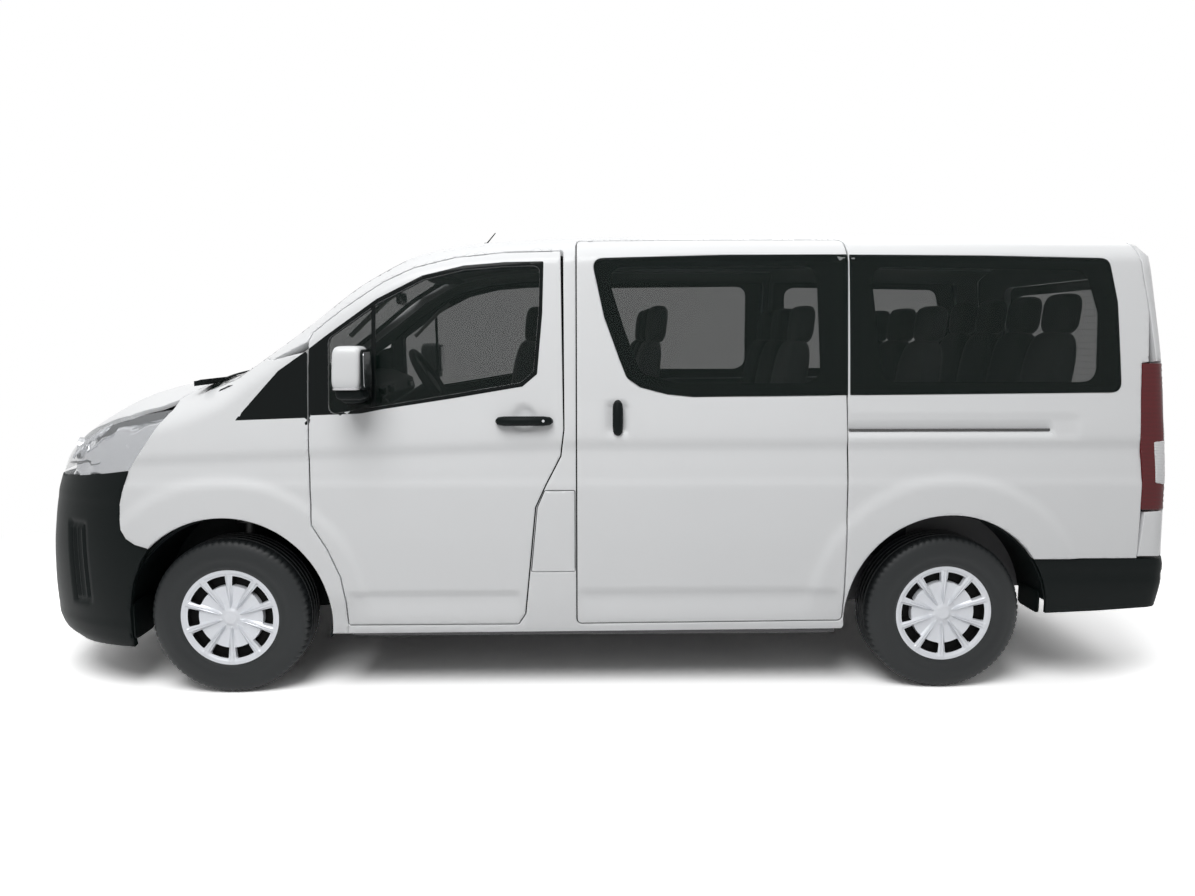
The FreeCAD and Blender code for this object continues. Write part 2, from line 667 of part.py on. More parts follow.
def leaf_springs():
    """Flat leaf packs on the axle, shackled to the rails."""
    both = []
    for side in (-1, 1):
        y = side * (RAIL_Y + RAIL_W / 2 + 40)
        y0, y1 = y - 32, y + 32
        x0, x1 = REAR_AXLE_X - 640, REAR_AXLE_X + 640
        leaf = block(x0, x1, y0, y1, AXLE_Z + 45, AXLE_Z + 62)
        second = block(REAR_AXLE_X - 380, REAR_AXLE_X + 380, y0, y1, AXLE_Z + 62, AXLE_Z + 76)
        seat = block(REAR_AXLE_X - 50, REAR_AXLE_X + 50, y0, y1, AXLE_Z, AXLE_Z + 50)
        seat = seat.cut(cylinder_y(REAR_AXLE_X, AXLE_Z, 45, y0 - 5, y1 + 5))
        ears = []
        for x in (x0 + 25, x1 - 25):
            ears.append(block(x - 25, x + 25, min(side * (RAIL_Y + RAIL_W / 2), y1 if side > 0 else y0),
                              max(side * (RAIL_Y + RAIL_W / 2), y1 if side > 0 else y0),
                              AXLE_Z + 50, RAIL_TOP - 30))
        both.append(leaf.fuse([second, seat] + ears))
    return Part.makeCompound(both)


def ring(profile):
    """Solid turned about the wheel axis from (radius, width) points."""
    wire = Part.makePolygon([V(0, w, r) for r, w in profile + profile[:1]])
    return Part.Face(wire).revolve(V(0, 0, 0), V(0, 1, 0), 360)


def at_wheel(shape, x, side):
    if side < 0:
        shape = mirrored(shape)
    shape.translate(V(x, side * WHEEL_Y, AXLE_Z))
    return shape


def tyre(x, side):
    half = TYRE_W / 2
    shoulder = half - 16
    profile = [(RIM_R, -half + 22), (RIM_R + 35, -half + 4), (RIM_R + 70, -half), (TYRE_R - 45, -half + 6),
               (TYRE_R - 12, -shoulder), (TYRE_R, -shoulder + 30), (TYRE_R, shoulder - 30),
               (TYRE_R - 12, shoulder), (TYRE_R - 45, half - 6), (RIM_R + 70, half),
               (RIM_R + 35, half - 4), (RIM_R, half - 22)]
    room = [(RIM_R - 20, CAP_W), (CAP_R + SEAT_GAP, CAP_W), (CAP_R + SEAT_GAP, half + 20),
            (RIM_R - 20, half + 20)]
    return at_wheel(ring(profile).cut(ring(room)), x, side)


def wheel(x, side):
    """Steel rim, disc and a full-face cap, outboard side towards +Y."""
    half = TYRE_W / 2 - 22
    rim = [(RIM_R - SEAT_GAP, -half), (RIM_R - SEAT_GAP, half), (RIM_R - 8, half), (RIM_R - 14, half - 30),
           (RIM_R - 14, -half + 30), (RIM_R - 8, -half)]
    disc = [(0.0, -30.0), (90, -30), (110, -20), (RIM_R - 12, 10), (RIM_R - 12, 22), (110, -8), (90, -18),
            (0, -18)]
    cap = [(0.0, 96.0), (60, 96), (150, 108), (CAP_R - 12, 108), (CAP_R, 100), (CAP_R - 4, 94),
           (RIM_R - 10, 92), (RIM_R - 14, half - 20), (RIM_R - 22, 84), (150, 92), (60, 84), (0, 84)]
    hub = [(0.0, -20.0), (48, -20), (48, 90), (0, 90)]
    body = ring(rim).fuse([ring(disc), ring(cap), ring(hub)])
    return at_wheel(largest(body), x, side)


# ---- drive line ------------------------------------------------------------------------
def engine():
    return block(along(-2130), along(-1420), -270, 270, RAIL_TOP - RAIL_H + CROSS_RISE, 985)


def propeller_shaft(grow=0.0):
    front = V(along(-900), 0, 440)
    shaft = rod(front, V(REAR_AXLE_X - 90, 0, AXLE_Z + 10), SHAFT_R + grow)
    return shaft.cut(differential(SEAT_GAP))


def tank_block(grow=0.0):
    return block(along(-150) - grow, along(700) + grow, -380 - grow, -90 + grow, 330, FLOOR_TOP - FLOOR_T)


def fuel_tank():
    tank = tank_block()
    return tank.makeFillet(35, [e for e in tank.Edges if abs(e.tangentAt(0).x) > 0.9])


def exhaust_pipe(grow=0.0):
    return rod(V(along(-1250), EXHAUST_Y, EXHAUST_Z), V(along(2500), EXHAUST_Y, EXHAUST_Z), PIPE_R + grow)


def exhaust():
    box = rod(V(along(500), EXHAUST_Y, EXHAUST_Z - 15), V(along(1080), EXHAUST_Y, EXHAUST_Z - 15), 78)
    return exhaust_pipe().fuse(box)


# ---- cabin ---------------------------------------------------------------------------------
def dashboard():
    face = [(-1690, 1302.86), (-1620, 1380), (-1480, 1402), (-1200, 1398), (-1090, 1350),
            (-1075, 1290), (-1120, 1220), (-1180, 1060), (-1280, 1010)]
    placed = [(along(x), z) for x, z in face]
    wire = wire_of(rounded(placed, 18), lambda p: V(p[0], 0, p[1]))
    return largest(across(wire, -out(850), out(850)).common(body_form(WALL + 12)))


WHEEL_HUB = (-765, -400, 1372)      # steering wheel centre, standard stations
WHEEL_RAKE = 32.0


def steering_wheel():
    """Rim, three spokes, boss and column into the dashboard."""
    ring_shape = Part.makeTorus(178, 15)
    boss = Part.makeCylinder(62, 40, V(0, 0, -30))
    parts = [boss]
    for angle in (0, 180, 270):
        spoke = block(20, 172, -16, 16, -14, -2)
        spoke.rotate(V(0, 0, 0), V(0, 0, 1), angle)
        parts.append(spoke)
    parts.append(Part.makeCylinder(26, 480, V(0, 0, -500)))
    whole = ring_shape.fuse(parts)
    whole.rotate(V(0, 0, 0), V(0, 1, 0), 90 - WHEEL_RAKE)
    x, y, z = WHEEL_HUB
    whole.translate(V(along(x), out(y), up(z)))
    return largest(whole.cut(dashboard()))


def seat_side(x, cushion_z, back_z, head_z):
    """Side view of a seat whose backrest top stands at x: list of closed faces."""
    base = [(x - 520, cushion_z - 130), (x - 530, cushion_z - 20), (x - 500, cushion_z),
            (x - 180, cushion_z - 20), (x - 60, back_z), (x + 20, back_z), (x - 20, cushion_z - 80),
            (x - 60, cushion_z - 130)]
    head = [(x - 62, back_z + 20), (x - 70, head_z - 30), (x - 40, head_z), (x + 20, head_z - 10),
            (x + 28, back_z + 20)]
    return base, head


def seat(x, centre, width, heads, cushion_z=1000.0, back_z=1560.0, head_z=1731.0):
    """One seat or bench: cushion, backrest, head restraints on posts, pedestal."""
    base, head = seat_side(x, cushion_z, back_z, head_z)
    wire = wire_of(rounded(base, 30), lambda p: V(p[0], 0, p[1]))
    body = across(wire, centre - width / 2, centre + width / 2)
    parts = []
    for y in heads:
        rest = wire_of(rounded(head, 20), lambda p: V(p[0], 0, p[1]))
        parts.append(across(rest, y - 130, y + 130))
        for side in (-1, 1):
            parts.append(rod(V(x - 20, y + side * 50, back_z - 30), V(x - 20, y + side * 50, back_z + 40), 7))
    parts.append(block(x - 470, x - 120, centre - width / 2 + 40, centre + width / 2 - 40, FLOOR_TOP,
                       cushion_z - 110))
    return body.fuse(parts)


def front_seats():
    pair = [seat(along(-250), side * out(400), out(500), [side * out(400)]) for side in (-1, 1)]
    return Part.makeCompound(pair)


def rear_seats():
    rows = []
    for x in (330, 1020, 1640):
        rows.append(seat(along(x), -out(170), out(1180), [-out(560), -out(170), out(220)]))
    rows.append(seat(along(2270), 0, out(1500), [-out(560), -out(190), out(190), out(560)],
                     cushion_z=1040, back_z=1600, head_z=1790))
    for side in (-1, 1):
        housing = cylinder_y(REAR_AXLE_X, AXLE_Z, ARCH_R + LINER_T + SEAT_GAP, side * (HOUSE_Y - SEAT_GAP),
                             side * FAR)
        rows = [largest(row.cut(housing)) for row in rows]
    return Part.makeCompound(rows)


# ---- door mirrors -----------------------------------------------------------------------------
def mirror(side):
    """Door mirror: housing on a foot that stands on the door below the glass."""
    x0, x1 = along(-1065), along(-925)
    y0, y1 = side * out(985), side * out(1165)
    shape = block(x0, x1, min(y0, y1), max(y0, y1), up(1360), up(1562))
    edges = [e for e in shape.Edges if abs(e.tangentAt(0).x) > 0.9 or abs(e.tangentAt(0).z) > 0.9]
    shape = shape.makeFillet(28, edges)
    y2 = side * out(925)
    y3 = side * out(1060)
    foot = block(x0 + 20, x1 - 20, min(y2, y3), max(y2, y3), up(1300), up(1372))
    foot = foot.cut(OUTER)
    return largest(shape.fuse(foot))


def build():
    nodes = {}
    nodes["roof_panel"] = roof()
    for side, word in ((-1, "left"), (1, "right")):
        nodes["side_panel_" + word] = side_panel(side)
        nodes["front_fender_" + word] = fender(side)
        nodes["front_door_" + word] = stepped_door(FRONT_DOOR, FRONT_WINDOW, side)
        nodes["front_door_glass_" + word] = largest(pane(FRONT_WINDOW, side))
        nodes["door_mirror_" + word] = mirror(side)
        nodes["sliding_door_" + word] = sliding_door(side)
        nodes["steering_knuckle_" + word] = knuckle(side)
        for x, end in ((FRONT_AXLE_X, "front"), (REAR_AXLE_X, "rear")):
            nodes["tyre_%s_%s" % (end, word)] = tyre(x, side)
            nodes["wheel_%s_%s" % (end, word)] = wheel(x, side)
    nodes["bonnet"] = bonnet()
    nodes["cowl_panel"] = largest(outer_leaf(plan_prism(COWL, 1200, FAR)))
    nodes["windscreen"] = largest(outer_leaf(plan_prism(WINDSCREEN, 1300, FAR), UNDER_GLASS))
    nodes["front_bumper"] = front_bumper()
    nodes["grille"] = grille()
    nodes["headlights"] = headlights()
    nodes["side_glass"] = side_glass()
    nodes["fuel_flap"] = fuel_flap()
    nodes["tailgate"] = tailgate()
    nodes["tailgate_glass"] = largest(outer_leaf(tailgate_hole(), UNDER_GLASS))
    nodes["tail_lights"] = tail_lights()
    nodes["rear_bumper"] = rear_bumper()
    nodes["floor_pan"] = floor_pan()
    nodes["wheel_liners"] = wheel_liners()
    nodes["underframe"] = underframe()
    nodes["rear_axle"] = rear_axle()
    nodes["leaf_springs"] = leaf_springs()
    nodes["engine"] = engine()
    nodes["propeller_shaft"] = propeller_shaft()
    nodes["fuel_tank"] = fuel_tank()
    nodes["exhaust"] = exhaust()
    nodes["dashboard"] = dashboard()
    nodes["steering_wheel"] = steering_wheel()
    nodes["front_seats"] = front_seats()
    nodes["rear_seats"] = rear_seats()
    return nodes


os.makedirs("parts", exist_ok=True)
for name, shape in build().items():
    shape.exportStep("parts/%s.step" % name)
    box = shape.BoundBox
    print("%-26s %d solids  valid %s  volume %8.2f l  x %6.0f %6.0f  y %6.0f %6.0f  z %6.0f %6.0f" % (
        name, len(shape.Solids), shape.isValid(), shape.Volume / 1e6,
        box.XMin, box.XMax, box.YMin, box.YMax, box.ZMin, box.ZMax))
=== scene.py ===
"""Looks of the passenger van: painted panels, glass, lamps, wheels and cabin
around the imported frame.  Stations are millimetres on the van: x from the
middle of the wheelbase, z from the ground; meshes are written in metres."""
import math

import bpy
import numpy as np
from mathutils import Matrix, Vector
from mathutils.geometry import delaunay_2d_cdt


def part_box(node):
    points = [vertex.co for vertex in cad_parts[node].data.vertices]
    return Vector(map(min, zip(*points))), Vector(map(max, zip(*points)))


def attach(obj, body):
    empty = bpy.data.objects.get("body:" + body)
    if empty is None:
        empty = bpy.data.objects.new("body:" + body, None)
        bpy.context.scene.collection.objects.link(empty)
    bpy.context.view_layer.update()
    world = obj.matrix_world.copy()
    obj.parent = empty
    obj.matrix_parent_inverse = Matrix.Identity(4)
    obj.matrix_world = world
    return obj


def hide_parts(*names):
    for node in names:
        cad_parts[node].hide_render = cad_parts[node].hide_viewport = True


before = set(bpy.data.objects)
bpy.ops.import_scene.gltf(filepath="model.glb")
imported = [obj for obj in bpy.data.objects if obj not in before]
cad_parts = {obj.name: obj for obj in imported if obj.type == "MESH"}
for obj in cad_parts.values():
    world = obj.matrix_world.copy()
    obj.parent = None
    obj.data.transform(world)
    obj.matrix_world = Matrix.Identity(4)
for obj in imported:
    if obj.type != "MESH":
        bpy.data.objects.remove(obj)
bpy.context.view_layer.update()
for name in ("Cube", "Light", "Camera"):
    if name in bpy.data.objects:
        bpy.data.objects.remove(bpy.data.objects[name])

MM = 0.001
SIDES = {-1: "left", 1: "right"}


def middle(node):
    low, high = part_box(node)
    return (np.array(low) + np.array(high)) / 2 / MM


FRONT_AXLE = middle("tyre_front_left")
REAR_AXLE = middle("tyre_rear_left")
MID = (FRONT_AXLE[0] + REAR_AXLE[0]) / 2
HALF_BASE = (REAR_AXLE[0] - FRONT_AXLE[0]) / 2
WHEEL_Y, AXLE_Z = abs(FRONT_AXLE[1]), FRONT_AXLE[2]
ARCH_R = 460.0


# ---- the body's outer surface ------------------------------------------------
def fair(knots, x):
    """Monotone cubic through the knots: no overshoot between them."""
    xk, yk = (np.array(v, float) for v in zip(*knots))
    h, d = np.diff(xk), np.diff(yk) / np.diff(xk)
    m = np.zeros(len(xk))
    w1, w2 = 2 * h[1:] + h[:-1], h[1:] + 2 * h[:-1]
    with np.errstate(divide="ignore", invalid="ignore"):
        mean = (w1 + w2) / (w1 / d[:-1] + w2 / d[1:])
    m[1:-1] = np.where(d[:-1] * d[1:] > 0, mean, 0)
    m[0], m[-1] = d[0], d[-1]
    x = np.clip(x, xk[0], xk[-1])
    i = np.clip(np.searchsorted(xk, x, side="right") - 1, 0, len(xk) - 2)
    t = (x - xk[i]) / h[i]
    return (yk[i] * (1 + 2 * t) * (1 - t) ** 2 + h[i] * m[i] * t * (1 - t) ** 2
            + yk[i + 1] * t * t * (3 - 2 * t) + h[i] * m[i + 1] * t * t * (t - 1))


def step(x, a, b):
    """Smooth step: 0 at a, 1 at b."""
    t = np.clip((x - a) / (b - a), 0, 1)
    return t * t * (3 - 2 * t)


HALF_WIDTH = [(150, 905), (270, 938), (330, 950), (500, 966), (730, 975), (960, 972), (1120, 957),
              (1340, 936), (1900, 862), (2000, 844), (2100, 825)]
ROOF_LINE = [(-2608, 1185), (-2350, 1282), (-2086, 1345), (-1830, 1385), (-1600, 1450), (-1450, 1545),
             (-1250, 1692), (-1000, 1882), (-750, 2002), (-450, 2051), (0, 2075), (600, 2085), (1600, 2085),
             (2200, 2078), (2600, 2062), (2711, 2056)]
SHOULDER = [(-2608, 230), (-2350, 230), (-2086, 220), (-1830, 200), (-1600, 170), (-1450, 150),
            (2200, 150), (2600, 125), (2711, 120)]
NOSE_LINE = [(150, -2440), (214, -2522), (250, -2577), (286, -2594), (333, -2604), (428, -2606),
             (575, -2600), (662, -2592), (732, -2582), (807, -2570), (871, -2556), (922, -2540),
             (1000, -2510), (1100, -2474), (1250, -2400), (1400, -2300)]
TAIL_LINE = [(300, 2660), (400, 2674), (560, 2684), (650, 2668), (1000, 2662), (1150, 2660), (1250, 2652),
             (1500, 2640), (1800, 2608), (1950, 2592), (2100, 2580)]
NOSE_START, TAIL_ROUND, POWER = -1950.0, 130.0, 4.0
NOSE_POWER, TAIL_POWER = 1.7, 1.8


def terms(x, z):
    """Roof, nose and tail terms: 0 inside, 1 at the body's end."""
    soft = fair(SHOULDER, x)
    s = np.clip((z - fair(ROOF_LINE, x) + soft) / soft, 0, None)
    t = np.clip((NOSE_START - x) / (NOSE_START - fair(NOSE_LINE, z)), 0, None)
    r = np.clip((x - fair(TAIL_LINE, z)) / TAIL_ROUND + 1, 0, None)
    return s ** 2 + t ** NOSE_POWER + r ** TAIL_POWER


def inside(p):
    """Below 0 in the body, above 0 outside it: a soft-edged box."""
    x, y, z = p[..., 0], p[..., 1], p[..., 2]
    return terms(x, z) + (np.abs(y) / fair(HALF_WIDTH, z)) ** POWER - 1


def cast(origin, heading, far):
    """Points where rays from inside meet the surface, by bisection."""
    low, high = np.zeros(heading.shape[:-1]), np.full(heading.shape[:-1], float(far))
    for _ in range(36):
        mid = (low + high) / 2
        out = inside(origin + heading * mid[..., None]) > 0
        low, high = np.where(out, low, mid), np.where(out, mid, high)
    return origin + heading * low[..., None]


def normals_at(p, reach=2.0):
    """Outward unit normals: the gradient of inside()."""
    g = np.stack([inside(p + reach * e) - inside(p - reach * e) for e in np.eye(3)], -1)
    return g / np.maximum(np.linalg.norm(g, axis=-1, keepdims=True), 1e-12)


# ---- charts: two numbers in millimetres to a point of the surface ------------------
NOSE_HUB, TAIL_HUB, TAIL_TOP, ARM = -1850.0, 2300.0, 1900.0, 800.0


def flank(side):
    """(x, z) on one side of the van."""
    def chart(q):
        a, b = q[:, 0], q[:, 1]
        room = np.clip(1 - terms(a, b), 1e-4, None)
        return np.stack([a, side * fair(HALF_WIDTH, b) * room ** (1 / POWER), b], -1)
    return chart


def deck(q):
    """(x, y) on the bonnet, windscreen and roof: straight up."""
    origin = np.column_stack([q, np.full(len(q), 900.0)])
    return cast(origin, np.broadcast_to([0, 0, 1.0], origin.shape), 1400)


def ahead(q):
    """(plan angle times ARM, z) round the nose."""
    turn = q[:, 0] / ARM
    origin = np.column_stack([np.full(len(q), NOSE_HUB), np.zeros(len(q)), q[:, 1]])
    return cast(origin, np.column_stack([-np.cos(turn), np.sin(turn), 0 * turn]), 1400)


def behind(q):
    """(plan angle times ARM, height run) round the tail, bending over its top."""
    turn, lift = q[:, 0] / ARM, np.maximum(q[:, 1] - TAIL_TOP, 0) / 400
    origin = np.column_stack([np.full(len(q), TAIL_HUB), 0 * turn, np.minimum(q[:, 1], TAIL_TOP)])
    heading = np.column_stack([np.cos(turn) * np.cos(lift), np.sin(turn) * np.cos(lift), np.sin(lift)])
    return cast(origin, heading, 1400)


def rear(q):
    """(y, z) on the tail: straight back."""
    origin = np.column_stack([np.full(len(q), TAIL_HUB), q])
    return cast(origin, np.broadcast_to([1.0, 0, 0], origin.shape), 1400)


def to_ahead(p):
    return np.column_stack([ARM * np.arctan2(p[:, 1], NOSE_HUB - p[:, 0]), p[:, 2]])


def to_behind(p):
    flat = np.hypot(p[:, 0] - TAIL_HUB, p[:, 1])
    rise = 400 * np.arctan2(p[:, 2] - TAIL_TOP, flat)
    return np.column_stack([ARM * np.arctan2(p[:, 1], p[:, 0] - TAIL_HUB),
                            np.where(p[:, 2] > TAIL_TOP, TAIL_TOP + rise, p[:, 2])])


# ---- outlines ------------------------------------------------------------------------
def dense(points, pitch=25.0, closed=True):
    """Outline with no stretch longer than pitch."""
    p = np.asarray(points, float)
    q = np.roll(p, -1, 0) if closed else p[1:]
    p = p if closed else p[:-1]
    runs = [a + (b - a) * np.linspace(0, 1, max(int(np.hypot(*(b - a)) / pitch), 1), endpoint=False)[:, None]
            for a, b in zip(p, q)]
    return np.concatenate(runs + ([] if closed else [np.asarray(points, float)[-1:]]))


def rounded(points, radius=14.0, pitch=25.0, arcs=7):
    """Closed outline with its corners rounded off."""
    p = np.asarray(points, float)
    radii = np.broadcast_to(radius, len(p))
    loop = []
    for a, b, c, r in zip(np.roll(p, 1, 0), p, np.roll(p, -1, 0), radii):
        u, v = a - b, c - b
        lu, lv = np.hypot(*u), np.hypot(*v)
        bend = math.acos(np.clip(np.dot(u, v) / lu / lv, -1, 1))
        reach = min(r / max(math.tan(bend / 2), 1e-3), 0.45 * lu, 0.45 * lv)
        if bend > 3.05 or reach < 0.5:
            loop.append(b[None])
            continue
        t = np.linspace(0, 1, arcs)[:, None]
        s, e = b + u / lu * reach, b + v / lv * reach
        loop.append((1 - t) ** 2 * s + 2 * t * (1 - t) * b + t ** 2 * e)
    return dense(np.concatenate(loop), pitch)


def grown(loop, size):
    """Closed outline moved outwards by size, inwards if negative."""
    d1, d0 = np.roll(loop, -1, 0) - loop, loop - np.roll(loop, 1, 0)
    n1, n0 = (np.column_stack([d[:, 1], -d[:, 0]]) / np.maximum(np.hypot(*d.T), 1e-9)[:, None]
              for d in (d1, d0))
    x, y = loop.T
    turn = np.sign(np.sum(x * np.roll(y, -1) - np.roll(x, -1) * y))
    mean = n1 + n0
    scale = 2 / np.maximum(np.sum(mean * mean, 1), 1.2)
    return loop + turn * size * mean * scale[:, None]


def arc(cx, cz, radius, a0, a1, count=40):
    """Points of a circular arc, angles in degrees from +x towards +z."""
    t = np.radians(np.linspace(a0, a1, count))
    return [(cx + radius * math.cos(v), cz + radius * math.sin(v)) for v in t]


def within(points, loop):
    """True for points inside a closed outline: even-odd rule."""
    x, y = points[:, :1], points[:, 1:]
    x0, y0 = loop.T
    x1, y1 = np.roll(loop, -1, 0).T
    with np.errstate(divide="ignore", invalid="ignore"):
        cross = ((y0 > y) != (y1 > y)) & (x < (x1 - x0) * (y - y0) / (y1 - y0) + x0)
    return cross.sum(1) % 2 == 1


def distance(points, loops):
    """Least distance from points to closed outlines, in two or three dimensions."""
    best = np.full(len(points), 1e9)
    for loop in loops:
        a, d = loop, np.roll(loop, -1, 0) - loop
        size = np.maximum(np.sum(d * d, 1), 1e-9)
        for part in np.array_split(np.arange(len(points)), max(len(points) // 4000, 1)):
            w = points[part, None] - a
            t = np.clip(np.sum(w * d, -1) / size, 0, 1)
            gap = np.linalg.norm(w - t[..., None] * d, axis=-1).min(1)
            best[part] = np.minimum(best[part], gap)
    return best


# ---- meshes ----------------------------------------------------------------------------
def mesh_piece(name, points, faces, materials, body, index=None, sharp=40):
    """Piece from points in van millimetres; index picks each face's material."""
    mesh = bpy.data.meshes.new(name)
    p = np.asarray(points, float).reshape(-1, 3) * MM
    p[:, 0] += MID * MM
    mesh.from_pydata(p.tolist(), [], [list(f) for f in faces])
    for m in materials if isinstance(materials, (list, tuple)) else [materials]:
        mesh.materials.append(m)
    if index is not None:
        mesh.polygons.foreach_set("material_index", np.asarray(index, np.int32))
    mesh.shade_smooth()
    mesh.set_sharp_from_angle(angle=math.radians(sharp))
    obj = bpy.data.objects.new(name, mesh)
    bpy.context.scene.collection.objects.link(obj)
    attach(obj, body)
    return obj


ROLL = 2.6


def panel(name, chart, outline, holes=(), depth=22.0, paint=None, body="body", lift=0.0, pitch=32.0,
          lining=None, relief=None, roll=ROLL, lips=(0.6, 1.7, 3.4)):
    """Closed sheet on the body's surface, inside an outline and outside its holes.
    Face: chart(q) + normal * (lift + relief - roll at its edges); back: depth below."""
    loops = [np.asarray(outline, float)] + [np.asarray(h, float) for h in holes]
    spots, edges = [], []
    for i, loop in enumerate(loops):
        start = sum(map(len, spots))
        edges += [(start + k, start + (k + 1) % len(loop)) for k in range(len(loop))]
        spots.append(loop)
        for lip in lips if roll else ():
            spots.append(grown(loop, lip if i else -lip))
    low, high = loops[0].min(0), loops[0].max(0)
    across = [np.arange(a + pitch / 2, b, pitch) for a, b in zip(low, high)]
    field = np.stack(np.meshgrid(*across, indexing="ij"), -1).reshape(-1, 2)
    field = field[within(field, loops[0])]
    for hole in loops[1:]:
        field = field[~within(field, hole)]
    field = field[distance(field, loops) > 0.35 * pitch] if len(field) else field
    flat = np.concatenate(spots + [field])
    out = delaunay_2d_cdt([Vector(v) for v in flat.tolist()], edges, [], 0, 1e-4)
    flat = np.array([tuple(v) for v in out[0]])
    tri = np.array([f for f in out[2] if len(f) == 3])
    mid = flat[tri].mean(1)
    keep = within(mid, loops[0])
    for hole in loops[1:]:
        keep &= ~within(mid, hole)
    tri = tri[keep]
    used, back = np.unique(tri, return_inverse=True)
    flat, tri = flat[used], back.reshape(-1, 3)
    base = chart(flat)
    normal = normals_at(base)
    gap = np.clip(distance(base, [chart(loop) for loop in loops]), 0, ROLL)
    drop = roll / ROLL * (ROLL - np.sqrt(np.maximum(ROLL ** 2 - (ROLL - gap) ** 2, 0)))
    raised = relief(base) if relief else 0.0
    face = base + normal * (lift + raised - drop)[:, None]
    rear = base + normal * (lift - depth)
    a, b, c = (face[tri[:, i]] for i in range(3))
    if np.mean(np.sum(np.cross(b - a, c - a) * normal[tri[:, 0]], 1)) < 0:
        tri = tri[:, ::-1]
    rim = np.concatenate([tri[:, [0, 1]], tri[:, [1, 2]], tri[:, [2, 0]]])
    key = np.sort(rim, 1)
    _, first, count = np.unique(key, axis=0, return_index=True, return_counts=True)
    rim = rim[first[count == 1]]
    size = len(face)
    walls = np.column_stack([rim[:, 1], rim[:, 0], rim[:, 0] + size, rim[:, 1] + size])
    faces = tri.tolist() + (tri[:, ::-1] + size).tolist() + walls.tolist()
    index = np.concatenate([np.zeros(len(tri)), np.ones(len(tri)), np.zeros(len(walls))])
    paints = [paint, lining or paint]
    return mesh_piece(name, np.concatenate([face, rear]), faces, paints, body, index)


def surface(name, points, material, body, wrap=(True, False), caps=True, sharp=40, index=None):
    """Closed skin over a grid of points [u, v]; v ends are capped where open."""
    nu, nv = points.shape[:2]
    iu, iv = np.arange(nu if wrap[0] else nu - 1), np.arange(nv if wrap[1] else nv - 1)
    a, b = np.meshgrid(iu, iv, indexing="ij")
    a2, b2 = (a + 1) % nu, (b + 1) % nv
    faces = np.stack([a * nv + b, a2 * nv + b, a2 * nv + b2, a * nv + b2], -1).reshape(-1, 4).tolist()
    if caps and not wrap[1]:
        faces.append(list((np.arange(nu) * nv)[::-1]))
        faces.append(list(np.arange(nu) * nv + nv - 1))
    p = points.reshape(-1, 3)
    c, q = p - p.mean(0), np.array([f for f in faces if len(f) == 4])
    volume = sum(np.sum(c[q[:, 0]] * np.cross(c[q[:, i]], c[q[:, i + 1]])) for i in (1, 2))
    if volume < 0:
        faces = [f[::-1] for f in faces]
    return mesh_piece(name, p, faces, material, body, index, sharp)


def pillow(centre, size, power=4.0, crown=0.0, rings=14, around=28, lean=0.0):
    """Soft box: superellipsoid of half sizes size, leaning back by lean in x per z."""
    v = np.linspace(-math.pi / 2, math.pi / 2, rings)
    u = np.linspace(0, 2 * math.pi, around, endpoint=False)
    def f(w, k):
        return np.sign(w) * np.abs(w) ** (2 / k)
    cv, sv = f(np.cos(v), power), f(np.sin(v), power)
    cu, su = f(np.cos(u), power), f(np.sin(u), power)
    x = size[0] * cu[:, None] * cv
    y = size[1] * su[:, None] * cv
    z = size[2] * np.ones_like(cu)[:, None] * sv
    z = z * (1 + crown * (1 - (x / size[0]) ** 2) * (1 - (y / size[1]) ** 2))
    return np.stack([centre[0] + x + lean * z, centre[1] + y, centre[2] + z], -1)


def merged(name, grids, material, body, wrap=(True, False)):
    """Several closed skins in one piece; each end ring is a pole or is capped."""
    points, faces, start = [], [], 0
    for g in grids:
        nu, nv = g.shape[:2]
        iu, iv = np.arange(nu if wrap[0] else nu - 1), np.arange(nv if wrap[1] else nv - 1)
        a, b = np.meshgrid(iu, iv, indexing="ij")
        a2, b2 = (a + 1) % nu, (b + 1) % nv
        q = np.stack([a * nv + b, a2 * nv + b, a2 * nv + b2, a * nv + b2], -1).reshape(-1, 4)
        p = g.reshape(-1, 3)
        c = p - p.mean(0)
        flip = sum(np.sum(c[q[:, 0]] * np.cross(c[q[:, i]], c[q[:, i + 1]])) for i in (1, 2)) < 0
        block = (q[:, ::-1] if flip else q) + start
        faces += block.tolist()
        if not wrap[1]:
            ends = [list((np.arange(nu) * nv)[::-1] + start), list(np.arange(nu) * nv + nv - 1 + start)]
            faces += [e[::-1] for e in ends] if flip else ends
        points.append(p)
        start += len(p)
    return mesh_piece(name, np.concatenate(points), faces, material, body)


def box_grid(low, high, soft=4.0):
    """Box between two corners with softly rounded edges, as a pillow grid."""
    low, high = np.minimum(low, high), np.maximum(low, high)
    size = np.asarray(high, float) - low
    power = max(2.5, min(24.0, 0.55 * min(size) / max(soft, 0.5) * 4))
    return pillow((np.asarray(low, float) + high) / 2, size / 2, power, rings=12, around=24)


def tube(path, radius, around=12, closed=False):
    """Round bar along a path of points: grid [around, along]."""
    p = np.asarray(path, float)
    d = np.gradient(p, axis=0) if not closed else np.roll(p, -1, 0) - np.roll(p, 1, 0)
    d /= np.linalg.norm(d, axis=1, keepdims=True)
    ref = np.array([0, 0, 1.0]) if abs(d[:, 2]).max() < 0.9 else np.array([1.0, 0, 0])
    u = np.cross(d, ref)
    u /= np.linalg.norm(u, axis=1, keepdims=True)
    w = np.cross(d, u)
    t = np.linspace(0, 2 * math.pi, around, endpoint=False)
    r = np.broadcast_to(radius, len(p))
    return p + r[:, None] * (np.cos(t)[:, None, None] * u + np.sin(t)[:, None, None] * w)


